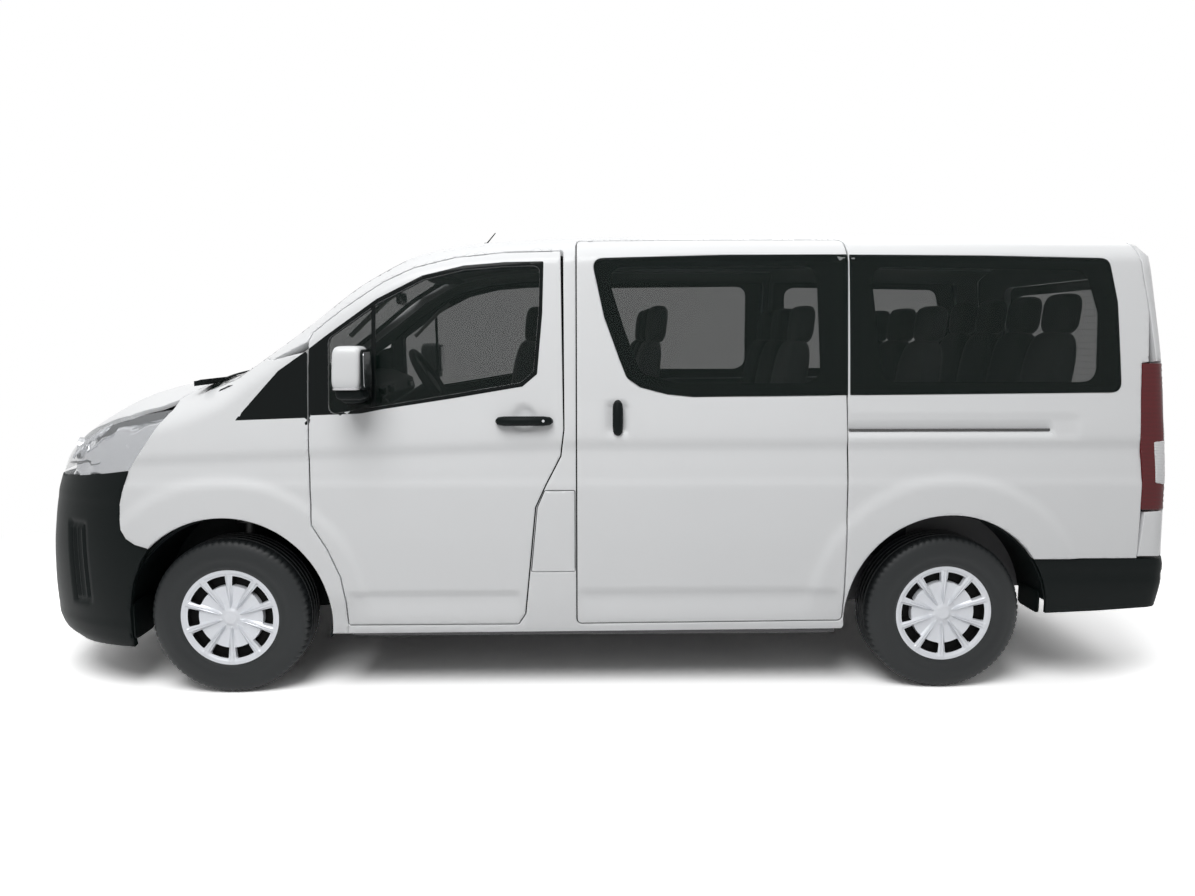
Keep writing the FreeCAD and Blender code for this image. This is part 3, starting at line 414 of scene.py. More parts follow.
# ---- materials ---------------------------------------------------------------------------
def finish_of(name, color, rough, metal=0.0, coat=0.0, clear=1.0, grain=0.0, scale=60.0, tint=0.04,
              sheen=0.0, bands=None, spec=0.5):
    """Principled surface with colour and bump from noise in Object space; bands adds fine ribs."""
    m = bpy.data.materials.new(name)
    m.use_nodes = True
    tree, new = m.node_tree, m.node_tree.nodes.new
    bsdf = tree.nodes["Principled BSDF"]
    for key, value in (("Roughness", rough), ("Metallic", metal), ("Coat Weight", coat), ("Alpha", clear),
                       ("Coat Roughness", 0.04), ("Sheen Weight", sheen), ("Specular IOR Level", spec)):
        bsdf.inputs[key].default_value = value
    where, noise, mix = new("ShaderNodeTexCoord"), new("ShaderNodeTexNoise"), new("ShaderNodeMix")
    noise.inputs["Scale"].default_value = scale
    noise.inputs["Detail"].default_value = 4
    tree.links.new(where.outputs["Object"], noise.inputs["Vector"])
    mix.data_type = "RGBA"
    mix.inputs["A"].default_value = (*[c * (1 - tint) for c in color], 1)
    mix.inputs["B"].default_value = (*[min(c * (1 + tint), 1) for c in color], 1)
    tree.links.new(noise.outputs["Fac"], mix.inputs["Factor"])
    tree.links.new(mix.outputs["Result"], bsdf.inputs["Base Color"])
    height, reach = noise.outputs["Fac"], 0.0006
    if bands:
        wave = new("ShaderNodeTexWave")
        wave.bands_direction, wave.inputs["Scale"].default_value = bands[0], bands[1]
        wave.inputs["Distortion"].default_value = 0
        tree.links.new(where.outputs["Object"], wave.inputs["Vector"])
        height, reach, grain = wave.outputs["Fac"], 0.002, bands[2]
    if grain:
        bump = new("ShaderNodeBump")
        bump.inputs["Strength"].default_value = grain
        bump.inputs["Distance"].default_value = reach
        tree.links.new(height, bump.inputs["Height"])
        tree.links.new(bump.outputs["Normal"], bsdf.inputs["Normal"])
    return m


PAINT = finish_of("white_gloss_paint", (0.78, 0.79, 0.80), 0.34, coat=0.2, tint=0.012, scale=3,
                  spec=0.3)
BLACK = finish_of("black_moulded_plastic", (0.0045, 0.007, 0.007), 0.45, grain=0.35, scale=900, tint=0.15,
                  spec=0.1)
GLOSS = finish_of("gloss_black_trim", (0.004, 0.006, 0.006), 0.14, tint=0.1, scale=80, spec=0.12)
# Black rubber of the seals, also used as painted shade: the black sheets behind the grille and the intake,
# and the floors of the wheel caps' slots.
SEAL_AND_SHADE = finish_of("rubber_seal_and_painted_shade", (0.004, 0.004, 0.004), 0.7, tint=0.1, scale=80, spec=0.1)
FRIT = finish_of("black_ceramic_border", (0.002, 0.004, 0.004), 0.1, tint=0.1, scale=40, spec=0.1)
PANE = finish_of("tinted_glass", (0.006, 0.012, 0.010), 0.03, clear=0.44, tint=0.1, scale=2, spec=0.2)
LENS = finish_of("clear_lens", (0.60, 0.62, 0.64), 0.03, clear=0.18, tint=0.02, scale=4)
RIBBED = finish_of("ribbed_clear_lens", (0.70, 0.70, 0.71), 0.15, coat=0.4, tint=0.04, scale=9,
                   bands=("Z", 45, 0.5))
CHROME = finish_of("bright_reflector", (0.62, 0.63, 0.65), 0.14, metal=1.0, tint=0.06, scale=30)
RED = finish_of("red_lens", (0.11, 0.003, 0.006), 0.10, coat=0.1, tint=0.12, scale=18, bands=("Z", 16, 0.35),
                spec=0.3)
SILVER = finish_of("silver_wheel_paint", (0.72, 0.74, 0.78), 0.34, metal=0.2, coat=0.2, grain=0.04, scale=700,
                   tint=0.03)
RUBBER = finish_of("tyre_rubber", (0.012, 0.014, 0.015), 0.5, grain=0.35, scale=350, tint=0.25, spec=0.35)
STEEL = finish_of("dark_cast_steel", (0.09, 0.09, 0.09), 0.5, metal=0.8, grain=0.3, scale=160, tint=0.3)
UNDER = finish_of("underbody_coat", (0.030, 0.030, 0.031), 0.65, grain=0.5, scale=220, tint=0.25)
CABIN = finish_of("cabin_plastic", (0.022, 0.023, 0.025), 0.5, grain=0.4, scale=600, tint=0.15, spec=0.3)
GREY = finish_of("cabin_trim_grey", (0.10, 0.10, 0.105), 0.6, grain=0.4, scale=400, tint=0.1)
LINING = finish_of("roof_lining", (0.36, 0.36, 0.35), 0.85, grain=0.5, scale=900, tint=0.06)
CLOTH = finish_of("seat_cloth", (0.050, 0.052, 0.056), 0.9, grain=0.8, scale=1400, tint=0.3, sheen=0.3)
ALLOY = finish_of("cast_alloy", (0.30, 0.30, 0.30), 0.5, metal=0.7, grain=0.4, scale=120, tint=0.2)
PIPE = finish_of("exhaust_steel", (0.28, 0.26, 0.24), 0.4, metal=0.9, tint=0.25, scale=25)
TANK = finish_of("tank_plastic", (0.02, 0.02, 0.021), 0.5, grain=0.4, scale=90, tint=0.2)

KEPT = {"floor_pan": GREY, "underframe": UNDER, "rear_axle": STEEL, "leaf_springs": STEEL, "engine": ALLOY,
        "propeller_shaft": STEEL, "fuel_tank": TANK, "exhaust": PIPE, "dashboard": CABIN,
        "steering_wheel": CABIN, "wheel_liners": BLACK, "cowl_panel": BLACK,
        "steering_knuckle_left": STEEL, "steering_knuckle_right": STEEL}
for node, paint in KEPT.items():
    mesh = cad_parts[node].data
    mesh.materials.clear()
    mesh.materials.append(paint)


# ---- outlines, van stations ----------------------------------------------------------------
FRONT_DOOR = [(-1222, 1578), (-1222, 1070), (-1216, 780), (-1150, 670), (-1098, 545), (-1080, 430),
              (-1077, 317), (-318, 317), (-286, 366), (-262, 600), (-237, 853), (-190, 955),
              (-126, 1079), (-112, 1194), (-112, 1976), (-370, 1969), (-592, 1946), (-768, 1901),
              (-901, 1839), (-1077, 1719), (-1205, 1618)]
DOOR_SKIN = [(-123, 1976) if p == (-112, 1976) else p for p in FRONT_DOOR]
DOOR_WAY = [(-116, 1976) if p == (-112, 1976) else p for p in FRONT_DOOR]
FRONT_WINDOW = [(-1135, 1590), (-918, 1745), (-724, 1845), (-547, 1888), (-369, 1903), (-215, 1908),
                (-222, 1700), (-245, 1445), (-300, 1400), (-591, 1350), (-901, 1300), (-1135, 1262)]
WINDOW_FRAME = [(-1218.5, 1546), (-1135, 1610), (-925, 1762), (-728, 1863), (-547, 1907), (-369, 1922),
                (-199, 1926), (-205, 1700), (-228, 1436), (-292, 1382), (-591, 1332), (-901, 1284),
                (-1218.5, 1217)]
GARNISH = [(-1592, 1178), (-1352, 1450), (-1225.5, 1540), (-1225.5, 1216)]
SLIDING_DOOR = [(-57, 2028), (471, 2031), (1142, 2034), (1134, 1351), (1141, 979), (1139, 326), (-57, 318)]
SLIDING_WINDOW = [(10, 1939), (597, 1955), (1105, 1958), (1105, 1343), (457, 1336), (340, 1348),
                  (223, 1378), (164, 1419), (131, 1502), (65, 1685)]
SLIDING_PANE = [(1137, z) if x == 1105 else (x, z) for x, z in SLIDING_WINDOW]
SLIDING_CLEAR = [(70, 1900), (1000, 1910), (1015, 1430), (960, 1395), (390, 1395), (225, 1440), (150, 1640)]
QUARTER_WINDOW = [(1168, 1957), (1759, 1954), (2305, 1943), (2340, 1750), (2355, 1354), (1168, 1343)]
QUARTER_PANE = [(1147, z) if x == 1168 else (x, z) for x, z in QUARTER_WINDOW]
QUARTER_CLEAR = [(1240, 1905), (2200, 1890), (2250, 1700), (2240, 1400), (1290, 1400)]
FUEL_FLAP = [(-198, 929), (-231, 853), (-256, 600), (-260, 561), (-63, 561), (-63, 929)]
HEADLIGHT_LOW = [(-2005, 1018), (-2153, 1001), (-2276, 986), (-2400, 975)]
HEADLIGHT_REAR = [(-1829, 1282), (-1942, 1107), (-2005, 1018)]
BONNET_EDGE = [(-1757, 1388), (-1790, 1360), (-1829, 1320), (-1895, 1291), (-2031, 1250), (-2180, 1205),
               (-2300, 1160), (-2400, 1103)]
TAIL_LIGHT_FRONT = [(2447, 1482), (2440, 1150), (2454, 955), (2454, 832)]
TAILGATE_EDGE = [(2458, 2028), (2443, 1977), (2458, 1860), (2482, 1706), (2478, 1488)]
BUMPER_BACK = [(-2043, 214), (-2040, 392), (-2015, 515), (-1975, 610), (-1930, 680), (-1985, 697),
               (-2022, 722), (-2044, 760), (-2052, 810), (-2050, 870), (-2036, 927), (-2005, 1016)]
SCREEN_HALF = [(-1722, 800), (-1445, 775), (-1250, 750), (-1000, 727), (-840, 712)]
ROOF_END, ROOF_Y = 2458.0, 668.0      # the roof's rear edge, where the tailgate starts
ROOF_HALF = [(-840, 712), (-500, 690), (0, 672), (1200, ROOF_Y), (ROOF_END, ROOF_Y)]
BUMPER_TOP = 612.0
LAMP_END = -1110.0      # plan run round the nose where the headlight's upper edge ends


def from_plan(points):
    """Flank (x, z) of plan points (x, y) on the deck."""
    p = deck(np.array(points, float))
    return [(a, c) for a, c in zip(p[:, 0], p[:, 2])]


def arch_angle(z):
    return math.degrees(math.asin((z - AXLE_Z) / ARCH_R))


# ---- relief pressed into the flanks ------------------------------------------------------------
SHUT = 3.0
SLOT = (1140.0, 2164.0, 1154.0, 1245.0)      # sliding door rail recess: x and z limits


def band(v, a, b, soft):
    """1 between a and b, falling to 0 over soft outside them."""
    return step(v, a - soft, a) * (1 - step(v, b, b + soft))


def flank_relief(p):
    """Arch flares, shoulder and sill creases, and the shallow rail recess."""
    x, z = p[:, 0], p[:, 2]
    h = np.zeros(len(p))
    for axle in (-HALF_BASE, HALF_BASE):
        r = np.hypot(x - axle, z - AXLE_Z)
        h = np.maximum(h, 11 * (1 - step(r, 595, 655)) * step(z, 330, 480))
    rise = 0.035 * np.clip(x + 2000, 0, 1900)
    h += 6 * step(z, 1040 + rise, 1095 + rise) * (1 - step(z, 1095 + rise, 1300 + rise))
    h -= 5 * band(z, 985, 1035 + rise, 40)
    for a, b in ((-1040, -330), (-20, 1095)):
        h -= 8 * band(x, a, b, 40) * step(z, 475, 460) * step(z, 345, 440)
    x0, x1, z0, z1 = SLOT
    h -= 5 * step(x, x1 + 4, x1 - 4) * step(x, x0 - 4, x0) * band(z, z0, z1, 5)
    h -= 16 * step(x, 2052, 2046) * step(x, x0 - 4, x0) * band(z, 1180, 1202, 4)
    return h


def pull_relief(p):
    """Rounded square recess behind the sliding door's pull."""
    d = np.maximum(np.abs(p[:, 0] - 122) / 52, np.abs(p[:, 2] - 1245) / 72)
    return flank_relief(p) - 14 * (1 - step(d, 0.82, 1.0))


def handle_relief(p):
    """Scoop behind the front door's handle bar."""
    d = np.hypot((p[:, 0] + 284) / 62, (p[:, 2] - 1240) / 70)
    return flank_relief(p) - 13 * (1 - step(d, 0.55, 1.0))


# ---- body sides -----------------------------------------------------------------------------------
def nearest(loop, spot):
    """Index of the loop's point nearest to spot."""
    return min(range(len(loop)), key=lambda i: math.dist(loop[i], spot))


def side_frame_outline():
    """Sill, pillars, cant rail and quarter panel in one loop."""
    screen = from_plan(SCREEN_HALF[1:])
    roof = from_plan(dense(ROOF_HALF, 60, closed=False))[1:]
    door = [tuple(v) for v in grown(rounded(DOOR_WAY, 12, 40), SHUT)]
    foot, head = nearest(door, (-1080, 314)), nearest(door, (-1225, 1575))
    count = len(door)
    one = [door[(foot + k) % count] for k in range((head - foot) % count + 1)]
    two = [door[(foot - k) % count] for k in range((foot - head) % count + 1)]
    over = one if max(p[0] for p in one) > -200 and len(one) > len(two) else two
    arch = arc(HALF_BASE, AXLE_Z, ARCH_R, arch_angle(BUMPER_TOP), 180 - arch_angle(300), 44)
    loop = [(-1084, 276)] + over + [(-1392, 1496)] + screen + roof
    loop += TAILGATE_EDGE + TAIL_LIGHT_FRONT + [(2453, BUMPER_TOP)] + arch + [(1140, 286)]
    return np.array(loop)


def front_frame():
    """Everything of one side that does not move, with its doors, glass and seals."""
    for side, word in SIDES.items():
        chart = flank(side)
        holes = [grown(rounded(SLIDING_DOOR, 26), SHUT), rounded(QUARTER_WINDOW, 46)]
        if side < 0:
            holes.append(grown(rounded(FUEL_FLAP, 10), 0.5))
        frame_piece = panel("side_frame_" + word, chart, dense(side_frame_outline()), holes, 46, PAINT,
                            pitch=18, lining=GREY, relief=flank_relief)
        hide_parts("side_panel_" + word)

        fender = [(-1084, 276)] + front_door_front() + [(-1392, 1496)]
        fender += from_plan(SCREEN_HALF[1::-1]) + BONNET_EDGE[:3] + HEADLIGHT_REAR
        fender += BUMPER_BACK[::-1][1:8]
        fender += arc(-HALF_BASE, AXLE_Z, ARCH_R, 180 - arch_angle(676), arch_angle(276), 50)
        skin = panel("fender_skin_" + word, chart, dense(fender), (), 16, PAINT, pitch=17, lining=BLACK,
                     relief=flank_relief)
        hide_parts("front_fender_" + word)
        panel("fender_garnish_" + word, chart, rounded(GARNISH, 10), (), 3, GLOSS, lift=2.0, pitch=30,
              roll=1.2)

        door = "front_door_" + word
        outline = grown(rounded(DOOR_SKIN, 12), -SHUT)
        window = rounded(FRONT_WINDOW, 34)
        skin = panel("front_door_skin_" + word, chart, outline, [window], 22, PAINT, door, pitch=16,
                     lining=CABIN, relief=handle_relief)
        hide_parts(door)
        panel("front_door_trim_" + word, chart, grown(outline, -34), [grown(window, 8)], 33, CABIN, door,
              lift=-23, pitch=40, roll=0)
        panel("window_frame_" + word, chart, rounded(WINDOW_FRAME, 8), [grown(window, 0.4)], 4, GLOSS, door,
              lift=1.6, pitch=30, roll=1.2)
        glass = panel("front_door_pane_" + word, chart, grown(window, -0.5), (), 4, PANE, door, lift=-3,
                      pitch=60, roll=0)
        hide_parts("front_door_glass_" + word)
        bar = [(-948, 1724), (-932, 1735), (-932, 1296), (-948, 1294)]
        panel("quarter_light_bar_" + word, chart, dense(bar), (), 12, GLOSS, door, lift=0, pitch=30, roll=1)
        panel("front_door_seal_" + word, chart, grown(rounded(FRONT_DOOR, 12), 2.5),
              [grown(rounded(FRONT_DOOR, 12), -9)], 16, SEAL_AND_SHADE, lift=-29, pitch=40, roll=0)

        outline = grown(rounded(SLIDING_DOOR, 26), -SHUT)
        window = rounded(SLIDING_WINDOW, 46)
        skin = panel("sliding_door_skin_" + word, chart, outline, [window], 46, PAINT, pitch=17, lining=GREY,
                     relief=pull_relief)
        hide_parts("sliding_door_" + word)
        panel("sliding_door_seal_" + word, chart, grown(rounded(SLIDING_DOOR, 26), 2.8),
              [grown(rounded(SLIDING_DOOR, 26), -2.8)], 30, SEAL_AND_SHADE, lift=-10, pitch=40, roll=0)
        for label, loop, clear in (("sliding_door", SLIDING_PANE, SLIDING_CLEAR),
                                   ("quarter", QUARTER_PANE, QUARTER_CLEAR)):
            edge = rounded(loop, [4 if x in (1137, 1147) else 46 for x, _ in loop])
            glass = panel(label + "_pane_" + word, chart, edge, (), 1.2, PANE, lift=2.4, pitch=30, roll=0)
            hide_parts("side_glass")
            panel(label + "_pane_border_" + word, chart, edge, [rounded(clear, 70, arcs=12)], 4,
                  FRIT, lift=1.1, pitch=30, roll=0.6)
    flap = panel("fuel_flap_skin", flank(-1), grown(rounded(FUEL_FLAP, 10), -SHUT), (), 14, PAINT,
                 "fuel_flap", pitch=24, relief=flank_relief)
    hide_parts("fuel_flap")


def front_door_front():
    """The front door's shut line ahead of its hinge, from the sill up to the pillar."""
    loop = grown(rounded(FRONT_DOOR, 12, 40), SHUT)
    front = [(x, z) for x, z in loop if x < -1074 and 312 < z < 1560]
    return sorted(front, key=lambda p: p[1])


# ---- bonnet, screen and roof -------------------------------------------------------------------------
def bonnet_line():
    """Bonnet's left edge in plan, then its nose to the middle."""
    p = flank(-1)(np.array(BONNET_EDGE, float))
    return [(a, b) for a, b in zip(p[:, 0], p[:, 1])] + [(-2452, -420), (-2476, -220)]


def both(points):
    """Left half of a plan outline with its mirror image."""
    return list(points) + [(x, -y) for x, y in points[::-1]]


def bonnet_relief(p):
    """Two long soft creases that run from the nose to the screen."""
    y = np.abs(p[:, 1])
    line = 560 + 0.10 * (p[:, 0] + 2480)
    return 5 * (1 - step(y, line - 60, line + 10)) * step(p[:, 0], -2440, -2300)


def screen_and_roof():
    line = bonnet_line()
    cover = panel("bonnet_skin", deck, grown(dense(both(line)), -SHUT / 2), (), 20, PAINT, "bonnet", pitch=26,
                  relief=bonnet_relief, lining=UNDER)
    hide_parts("bonnet")
    screen = [(x, -y) for x, y in SCREEN_HALF]
    outline = rounded(both(screen), 40)
    glass = panel("windscreen_pane", deck, grown(outline, -SHUT), (), 5, PANE, pitch=50, roll=1)
    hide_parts("windscreen")
    clear = [(-1600, -700), (-1250, -672), (-900, -640)]
    panel("windscreen_border", deck, grown(outline, -SHUT - 1), [rounded(both(clear), 60)], 3, FRIT,
          lift=-5.5, pitch=50, roll=0)
    roof = [(x, -y) for x, y in dense(ROOF_HALF, 120, closed=False)]
    top = panel("roof_skin", deck, dense(both(roof), 60), (), 20, PAINT, pitch=55, lining=LINING,
                relief=roof_relief)
    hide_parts("roof_panel")


def roof_relief(p):
    """Five shallow lengthwise ribs pressed in the roof."""
    y = p[:, 1]
    ribs = sum(band(y, c - 42, c + 42, 16) for c in (-420, -210, 0, 210, 420))
    return -4.0 + 4.0 * ribs * band(p[:, 0], -300, 2250, 90) + 4 * (1 - band(p[:, 0], -300, 2250, 90))


# ---- nose ------------------------------------------------------------------------------------------------
def flank_ahead(points):
    return [tuple(v) for v in to_ahead(flank(-1)(np.array(points, float)))]


def mirrored(points):
    return [(-a, b) for a, b in points]


def nose():
    back = flank_ahead(BUMPER_BACK)
    top = flank_ahead(HEADLIGHT_LOW[1:])
    upper = top + [(-560, 962), (-430, 956), (-200, 954)]
    low = [(-1080, 214), (-700, 206), (0, 204)]
    loop = back + upper + mirrored(upper)[::-1] + mirrored(back)[::-1] + mirrored(low)[:2] + low[::-1]
    loop = dense(loop[:-1] if loop[-1] == loop[0] else loop)
    intake = rounded([(-420, 400), (-440, 640), (440, 640), (420, 400)], 30)
    bumper = panel("front_bumper_skin", ahead, loop, [intake], 22, BLACK, pitch=13, relief=bumper_relief)
    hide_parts("front_bumper")
    edge = deck(np.array(bonnet_line(), float))
    edge = [tuple(v) for v in to_ahead(edge)]
    split = -470
    seam = [p for p in edge if p[0] > split]
    grille = [(split, 965)] + [(split, edge_height(edge, split) - 4)]
    grille += [(a, b - 4) for a, b in seam]
    loop = rounded(grille + mirrored(grille)[::-1], 6)
    bars = [rounded([(-430, z), (-430, z + 22), (430, z + 22), (430, z)], 8) for z in (984, 1020)]
    piece = panel("grille_skin", ahead, loop, bars, 16, GLOSS, pitch=26, lift=-3)
    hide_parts("grille")
    # Painted shade: a black sheet behind the grille's two slots stands for the shaded inside of the nose.
    panel("grille_back", ahead, rounded([(-460, 970), (-460, 1052), (460, 1052), (460, 970)], 6), (), 6, SEAL_AND_SHADE,
          lift=-22, pitch=60, roll=0)
    mesh = [rounded([(-400, z), (-400, z + 26), (400, z + 26), (400, z)], 8) for z in (425, 478, 531, 584)]
    panel("intake_mesh", ahead, grown(intake, 6), mesh, 10, BLACK, lift=-24, pitch=40, roll=0)
    # Painted shade: a black sheet behind the intake mesh stands for the shaded inside of the nose.
    panel("intake_back", ahead, grown(intake, 4), (), 5, SEAL_AND_SHADE, lift=-40, pitch=80, roll=0)
    for side, word in SIDES.items():
        lamp(side, word, edge, split)


def edge_height(edge, a):
    xs, zs = zip(*sorted(edge))
    return float(np.interp(a, xs, zs))


def bumper_relief(p):
    """Upright vents near the corners and a shelf line round the nose."""
    turn = np.abs(ARM * np.arctan2(p[:, 1], NOSE_HUB - p[:, 0]))
    z = p[:, 2]
    h = -10 * band(turn, 842, 928, 8) * band(z, 415, 775, 14)
    h += 7 * sum(band(turn, c - 8, c + 8, 5) for c in (860, 885, 910)) * band(z, 430, 760, 10)
    return h + 3 * step(z, 860, 900) + 4 * (1 - step(z, 300, 345))


def lamp(side, word, edge, split):
    """Headlight: clear lens, dark housing, two bright bowls and a fan of fins."""
    upper = [(a, b - 3) for a, b in edge if LAMP_END < a < split]
    rear = flank_ahead(HEADLIGHT_REAR)
    loop = rear + flank_ahead(HEADLIGHT_LOW[1:]) + [(split, 975)]
    loop += [(split, edge_height(edge, split) - 3)] + upper[::-1]
    if side > 0:
        loop = mirrored(loop)
    loop = grown(rounded(loop, 5), -1.5)
    lens = panel("headlight_lens_" + word, ahead, loop, (), 3, LENS, pitch=30, roll=2, lift=0.5)
    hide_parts("headlights")
    panel("headlight_housing_" + word, ahead, grown(loop, -1), (), 6, CHROME, pitch=20, roll=0, lift=-42,
          relief=lamp_relief)
    cells = []
    for a, z, r, deep in ((560, 1068, 44, 34), (668, 1082, 50, 36), (490, 1040, 26, 22)):
        cells.append(bowl(side * a, z, r, deep))
    merged("headlight_bowls_" + word, cells, CHROME, "body")
    fins = []
    for i in range(6):
        a = 775 + 38 * i
        span = (1052 + 23 * i, 1120 + 25 * i)
        path = ahead(np.column_stack([np.linspace(side * (a - 14), side * (a + 22), 8),
                                      np.linspace(span[0], span[1], 8)]))
        n = normals_at(path)
        fins.append(tube(path - n * 16, 5.5, 8))
    merged("headlight_fins_" + word, fins, CHROME, "body")
    line = ahead(np.column_stack([np.linspace(side * 500, side * 940, 30), np.linspace(1000, 1052, 30)]))
    merged("headlight_brow_" + word, [tube(line - normals_at(line) * 14, 4.0, 8)], GLOSS, "body")


def lamp_relief(p):
    """Facets behind the lens: steps that catch light in turn."""
    turn = np.abs(ARM * np.arctan2(p[:, 1], NOSE_HUB - p[:, 0]))
    return 9 * np.sin(turn / 26.0) * np.sin(p[:, 2] / 21.0)


def bowl(a, z, radius, deep):
    """Reflector bowl that faces out from the nose at (a, z): a closed dish."""
    base = ahead(np.array([[a, z]]))[0]
    n = normals_at(base[None])[0] * np.array([1, 1, 0.2])
    n /= np.linalg.norm(n)
    u = np.cross(n, [0, 0, 1.0])
    u /= np.linalg.norm(u)
    w = np.cross(u, n)
    t = np.linspace(0, 2 * math.pi, 40, endpoint=False)
    prof = [(0.04, 12), (0.18, 12), (0.2, 30), (0.26, 34), (0.5, 30), (0.8, 18), (0.97, 2), (1.0, 0),
            (1.04, 2), (1.04, 40), (0.04, 44)]
    ring = [base - n * (14 + d * deep / 36) + radius * r * (np.cos(t)[:, None] * u + np.sin(t)[:, None] * w)
            for r, d in prof]
    return np.stack(ring, 1)


# ---- tail ------------------------------------------------------------------------------------------------
def flank_behind(points):
    return [tuple(v) for v in to_behind(flank(-1)(np.array(points, float)))]


def on_gate(points, radius):
    """Rounded outline of (y, z) points, as the chart behind() counts them."""
    return to_behind(rear(rounded(points, radius)))


def tail():
    lamp_front = flank_behind(TAIL_LIGHT_FRONT)
    outer = [(a + 92, b) for a, b in lamp_front]
    side_edge = flank_behind(TAILGATE_EDGE[:-1])
    ridge = deck(np.column_stack([np.full(24, ROOF_END), np.linspace(-ROOF_Y, 0, 24)]))
    ridge = [tuple(v) for v in to_behind(ridge)]
    loop = ridge[::-1] + side_edge + [(outer[0][0] - 40, 1488), (outer[0][0], 1488)] + outer[1:]
    loop += [(outer[-1][0] - 80, 824), (lamp_front[-1][0], 618)]
    left = grown(np.array(dense(loop + mirrored(loop)[::-1])), -SHUT)
    window = on_gate([(-684, 1270), (-630, 1895), (630, 1895), (684, 1270)], 60)
    plate = on_gate([(-270, 850), (-270, 985), (270, 985), (270, 850)], 20)
    gate = panel("tailgate_skin", behind, left, [window, plate], 46, PAINT, "tailgate", pitch=30, lining=GREY,
                 relief=gate_relief)
    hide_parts("tailgate")
    panel("plate_recess", behind, grown(plate, 1), (), 6, BLACK, "tailgate", lift=-14, pitch=60, roll=0)
    panel("plate_blank", behind, on_gate([(-255, 866), (-255, 968), (255, 968), (255, 866)], 8), (), 3, PAINT,
          "tailgate", lift=-10, pitch=60, roll=1)
    panel("tailgate_grip", behind, on_gate([(-240, 996), (-240, 1026), (240, 1026), (240, 996)], 10), (), 20,
          BLACK, "tailgate", lift=12, pitch=40)
    glass = panel("tailgate_pane", behind, grown(window, -0.6), (), 4, PANE, "tailgate", lift=0.5, pitch=60,
                  roll=0.8, lips=(1, 3))
    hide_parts("tailgate_glass")
    clear = on_gate([(-610, 1330), (-562, 1840), (562, 1840), (610, 1330)], 70)
    panel("tailgate_pane_border", behind, grown(window, -2), [clear], 2, FRIT, "tailgate", lift=-4, pitch=60,
          roll=0)
    wires = []
    for z in np.arange(1365, 1830, 34):
        path = rear(np.column_stack([np.linspace(-560, 560, 40), np.full(40, z)]))
        wires.append(tube(path - normals_at(path) * 4.6, 0.5, 6))
    merged("demister_wires", wires, GREY, "tailgate")
    for side, word in SIDES.items():
        loop = lamp_front + outer[::-1]
        loop = loop if side < 0 else mirrored(loop)
        red = grown(rounded(loop, 8), -1)
        light = panel("tail_light_" + word, behind, red, (), 24, RED, pitch=20, lift=3, roll=2.6)
        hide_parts("tail_lights")
        a0, a1 = lamp_front[2][0] + 45, outer[2][0] - 9
        clear = [(a0, 955), (a0 - 4, 1135), (a1, 1140), (a1, 945)]
        clear = clear if side < 0 else mirrored(clear)
        panel("reversing_lens_" + word, behind, rounded(clear, 8), (), 6, RIBBED, pitch=20, lift=5.5)
    back = flank_behind(arc(HALF_BASE, AXLE_Z, ARCH_R, arch_angle(353.1), arch_angle(BUMPER_TOP - 3), 16))
    low = [(-560, 372), (0, 384)]
    start = flank_behind([(2070, 352), (2300, 362), (2560, 380)])
    loop = back[::-1] + start + low
    loop = [(a, min(b, BUMPER_TOP - 3)) for a, b in loop]
    outline = loop + mirrored(loop)[::-1]
    bumper = panel("rear_bumper_skin", behind, dense(outline), (), 22, BLACK, pitch=24,
                   relief=rear_bumper_relief)
    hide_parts("rear_bumper")


def gate_relief(p):
    """Soft shelf below the window."""
    return 6 * band(p[:, 2], 1080, 1180, 70) * band(p[:, 1], -700, 700, 60)


def rear_bumper_relief(p):
    """Crease one third down the bumper, tucked below it."""
    return -5 * step(p[:, 2], 560, 520) + 6 * step(p[:, 2], 545, 505) * step(p[:, 2], 350, 500)


# ---- wheels ---------------------------------------------------------------------------------------------
def turned(profile, count=96):
    """Ring of (radius, outboard) points turned about the wheel's axle: [around, along]."""
    t = np.linspace(0, 2 * math.pi, count, endpoint=False)
    r, w = np.array(profile, float).T
    return t, np.stack([np.cos(t)[:, None] * r, np.ones((count, 1)) * w, np.sin(t)[:, None] * r], -1)


def place_wheel(grid, x, side, phase=0.0):
    c, s = math.cos(phase), math.sin(phase)
    p = grid.copy()
    p[..., 0], p[..., 2] = grid[..., 0] * c - grid[..., 2] * s, grid[..., 0] * s + grid[..., 2] * c
    p[..., 1] = side * (WHEEL_Y + p[..., 1])
    return p + np.array([x, 0, AXLE_Z])


def tyre_grid():
    """Tyre with ribbed tread, shoulder blocks and a stepped sidewall."""
    side_wall = [(206, 88), (214, 100), (226, 107), (234, 109), (238, 107.5), (262, 111.5), (268, 112.5),
                 (286, 112), (292, 110.5), (306, 108), (320, 104), (332, 99), (340, 94)]
    tread = [(346, 88), (350, 78), (352, 66), (352.6, 58), (346, 56), (346, 50), (352.8, 48), (353, 30),
             (353, 22), (346, 20), (346, 14), (353, 12), (353, 0)]
    half = side_wall + tread
    full = [(r, w) for r, w in half] + [(r, -w) for r, w in half[::-1][1:]]
    full += [(206, -60), (212, -40), (212, 40), (206, 60)]
    t, grid = turned(full, 288)
    r = np.hypot(grid[..., 0], grid[..., 2])
    w = np.abs(grid[..., 1])
    cut = (np.sin(t * 72)[:, None] > 0.35) & (w > 60) & (r > 332)
    scale = np.where(cut, (r - 5) / r, 1.0)
    grid[..., 0] *= scale
    grid[..., 2] *= scale
    return grid


CAP_R = 229.0


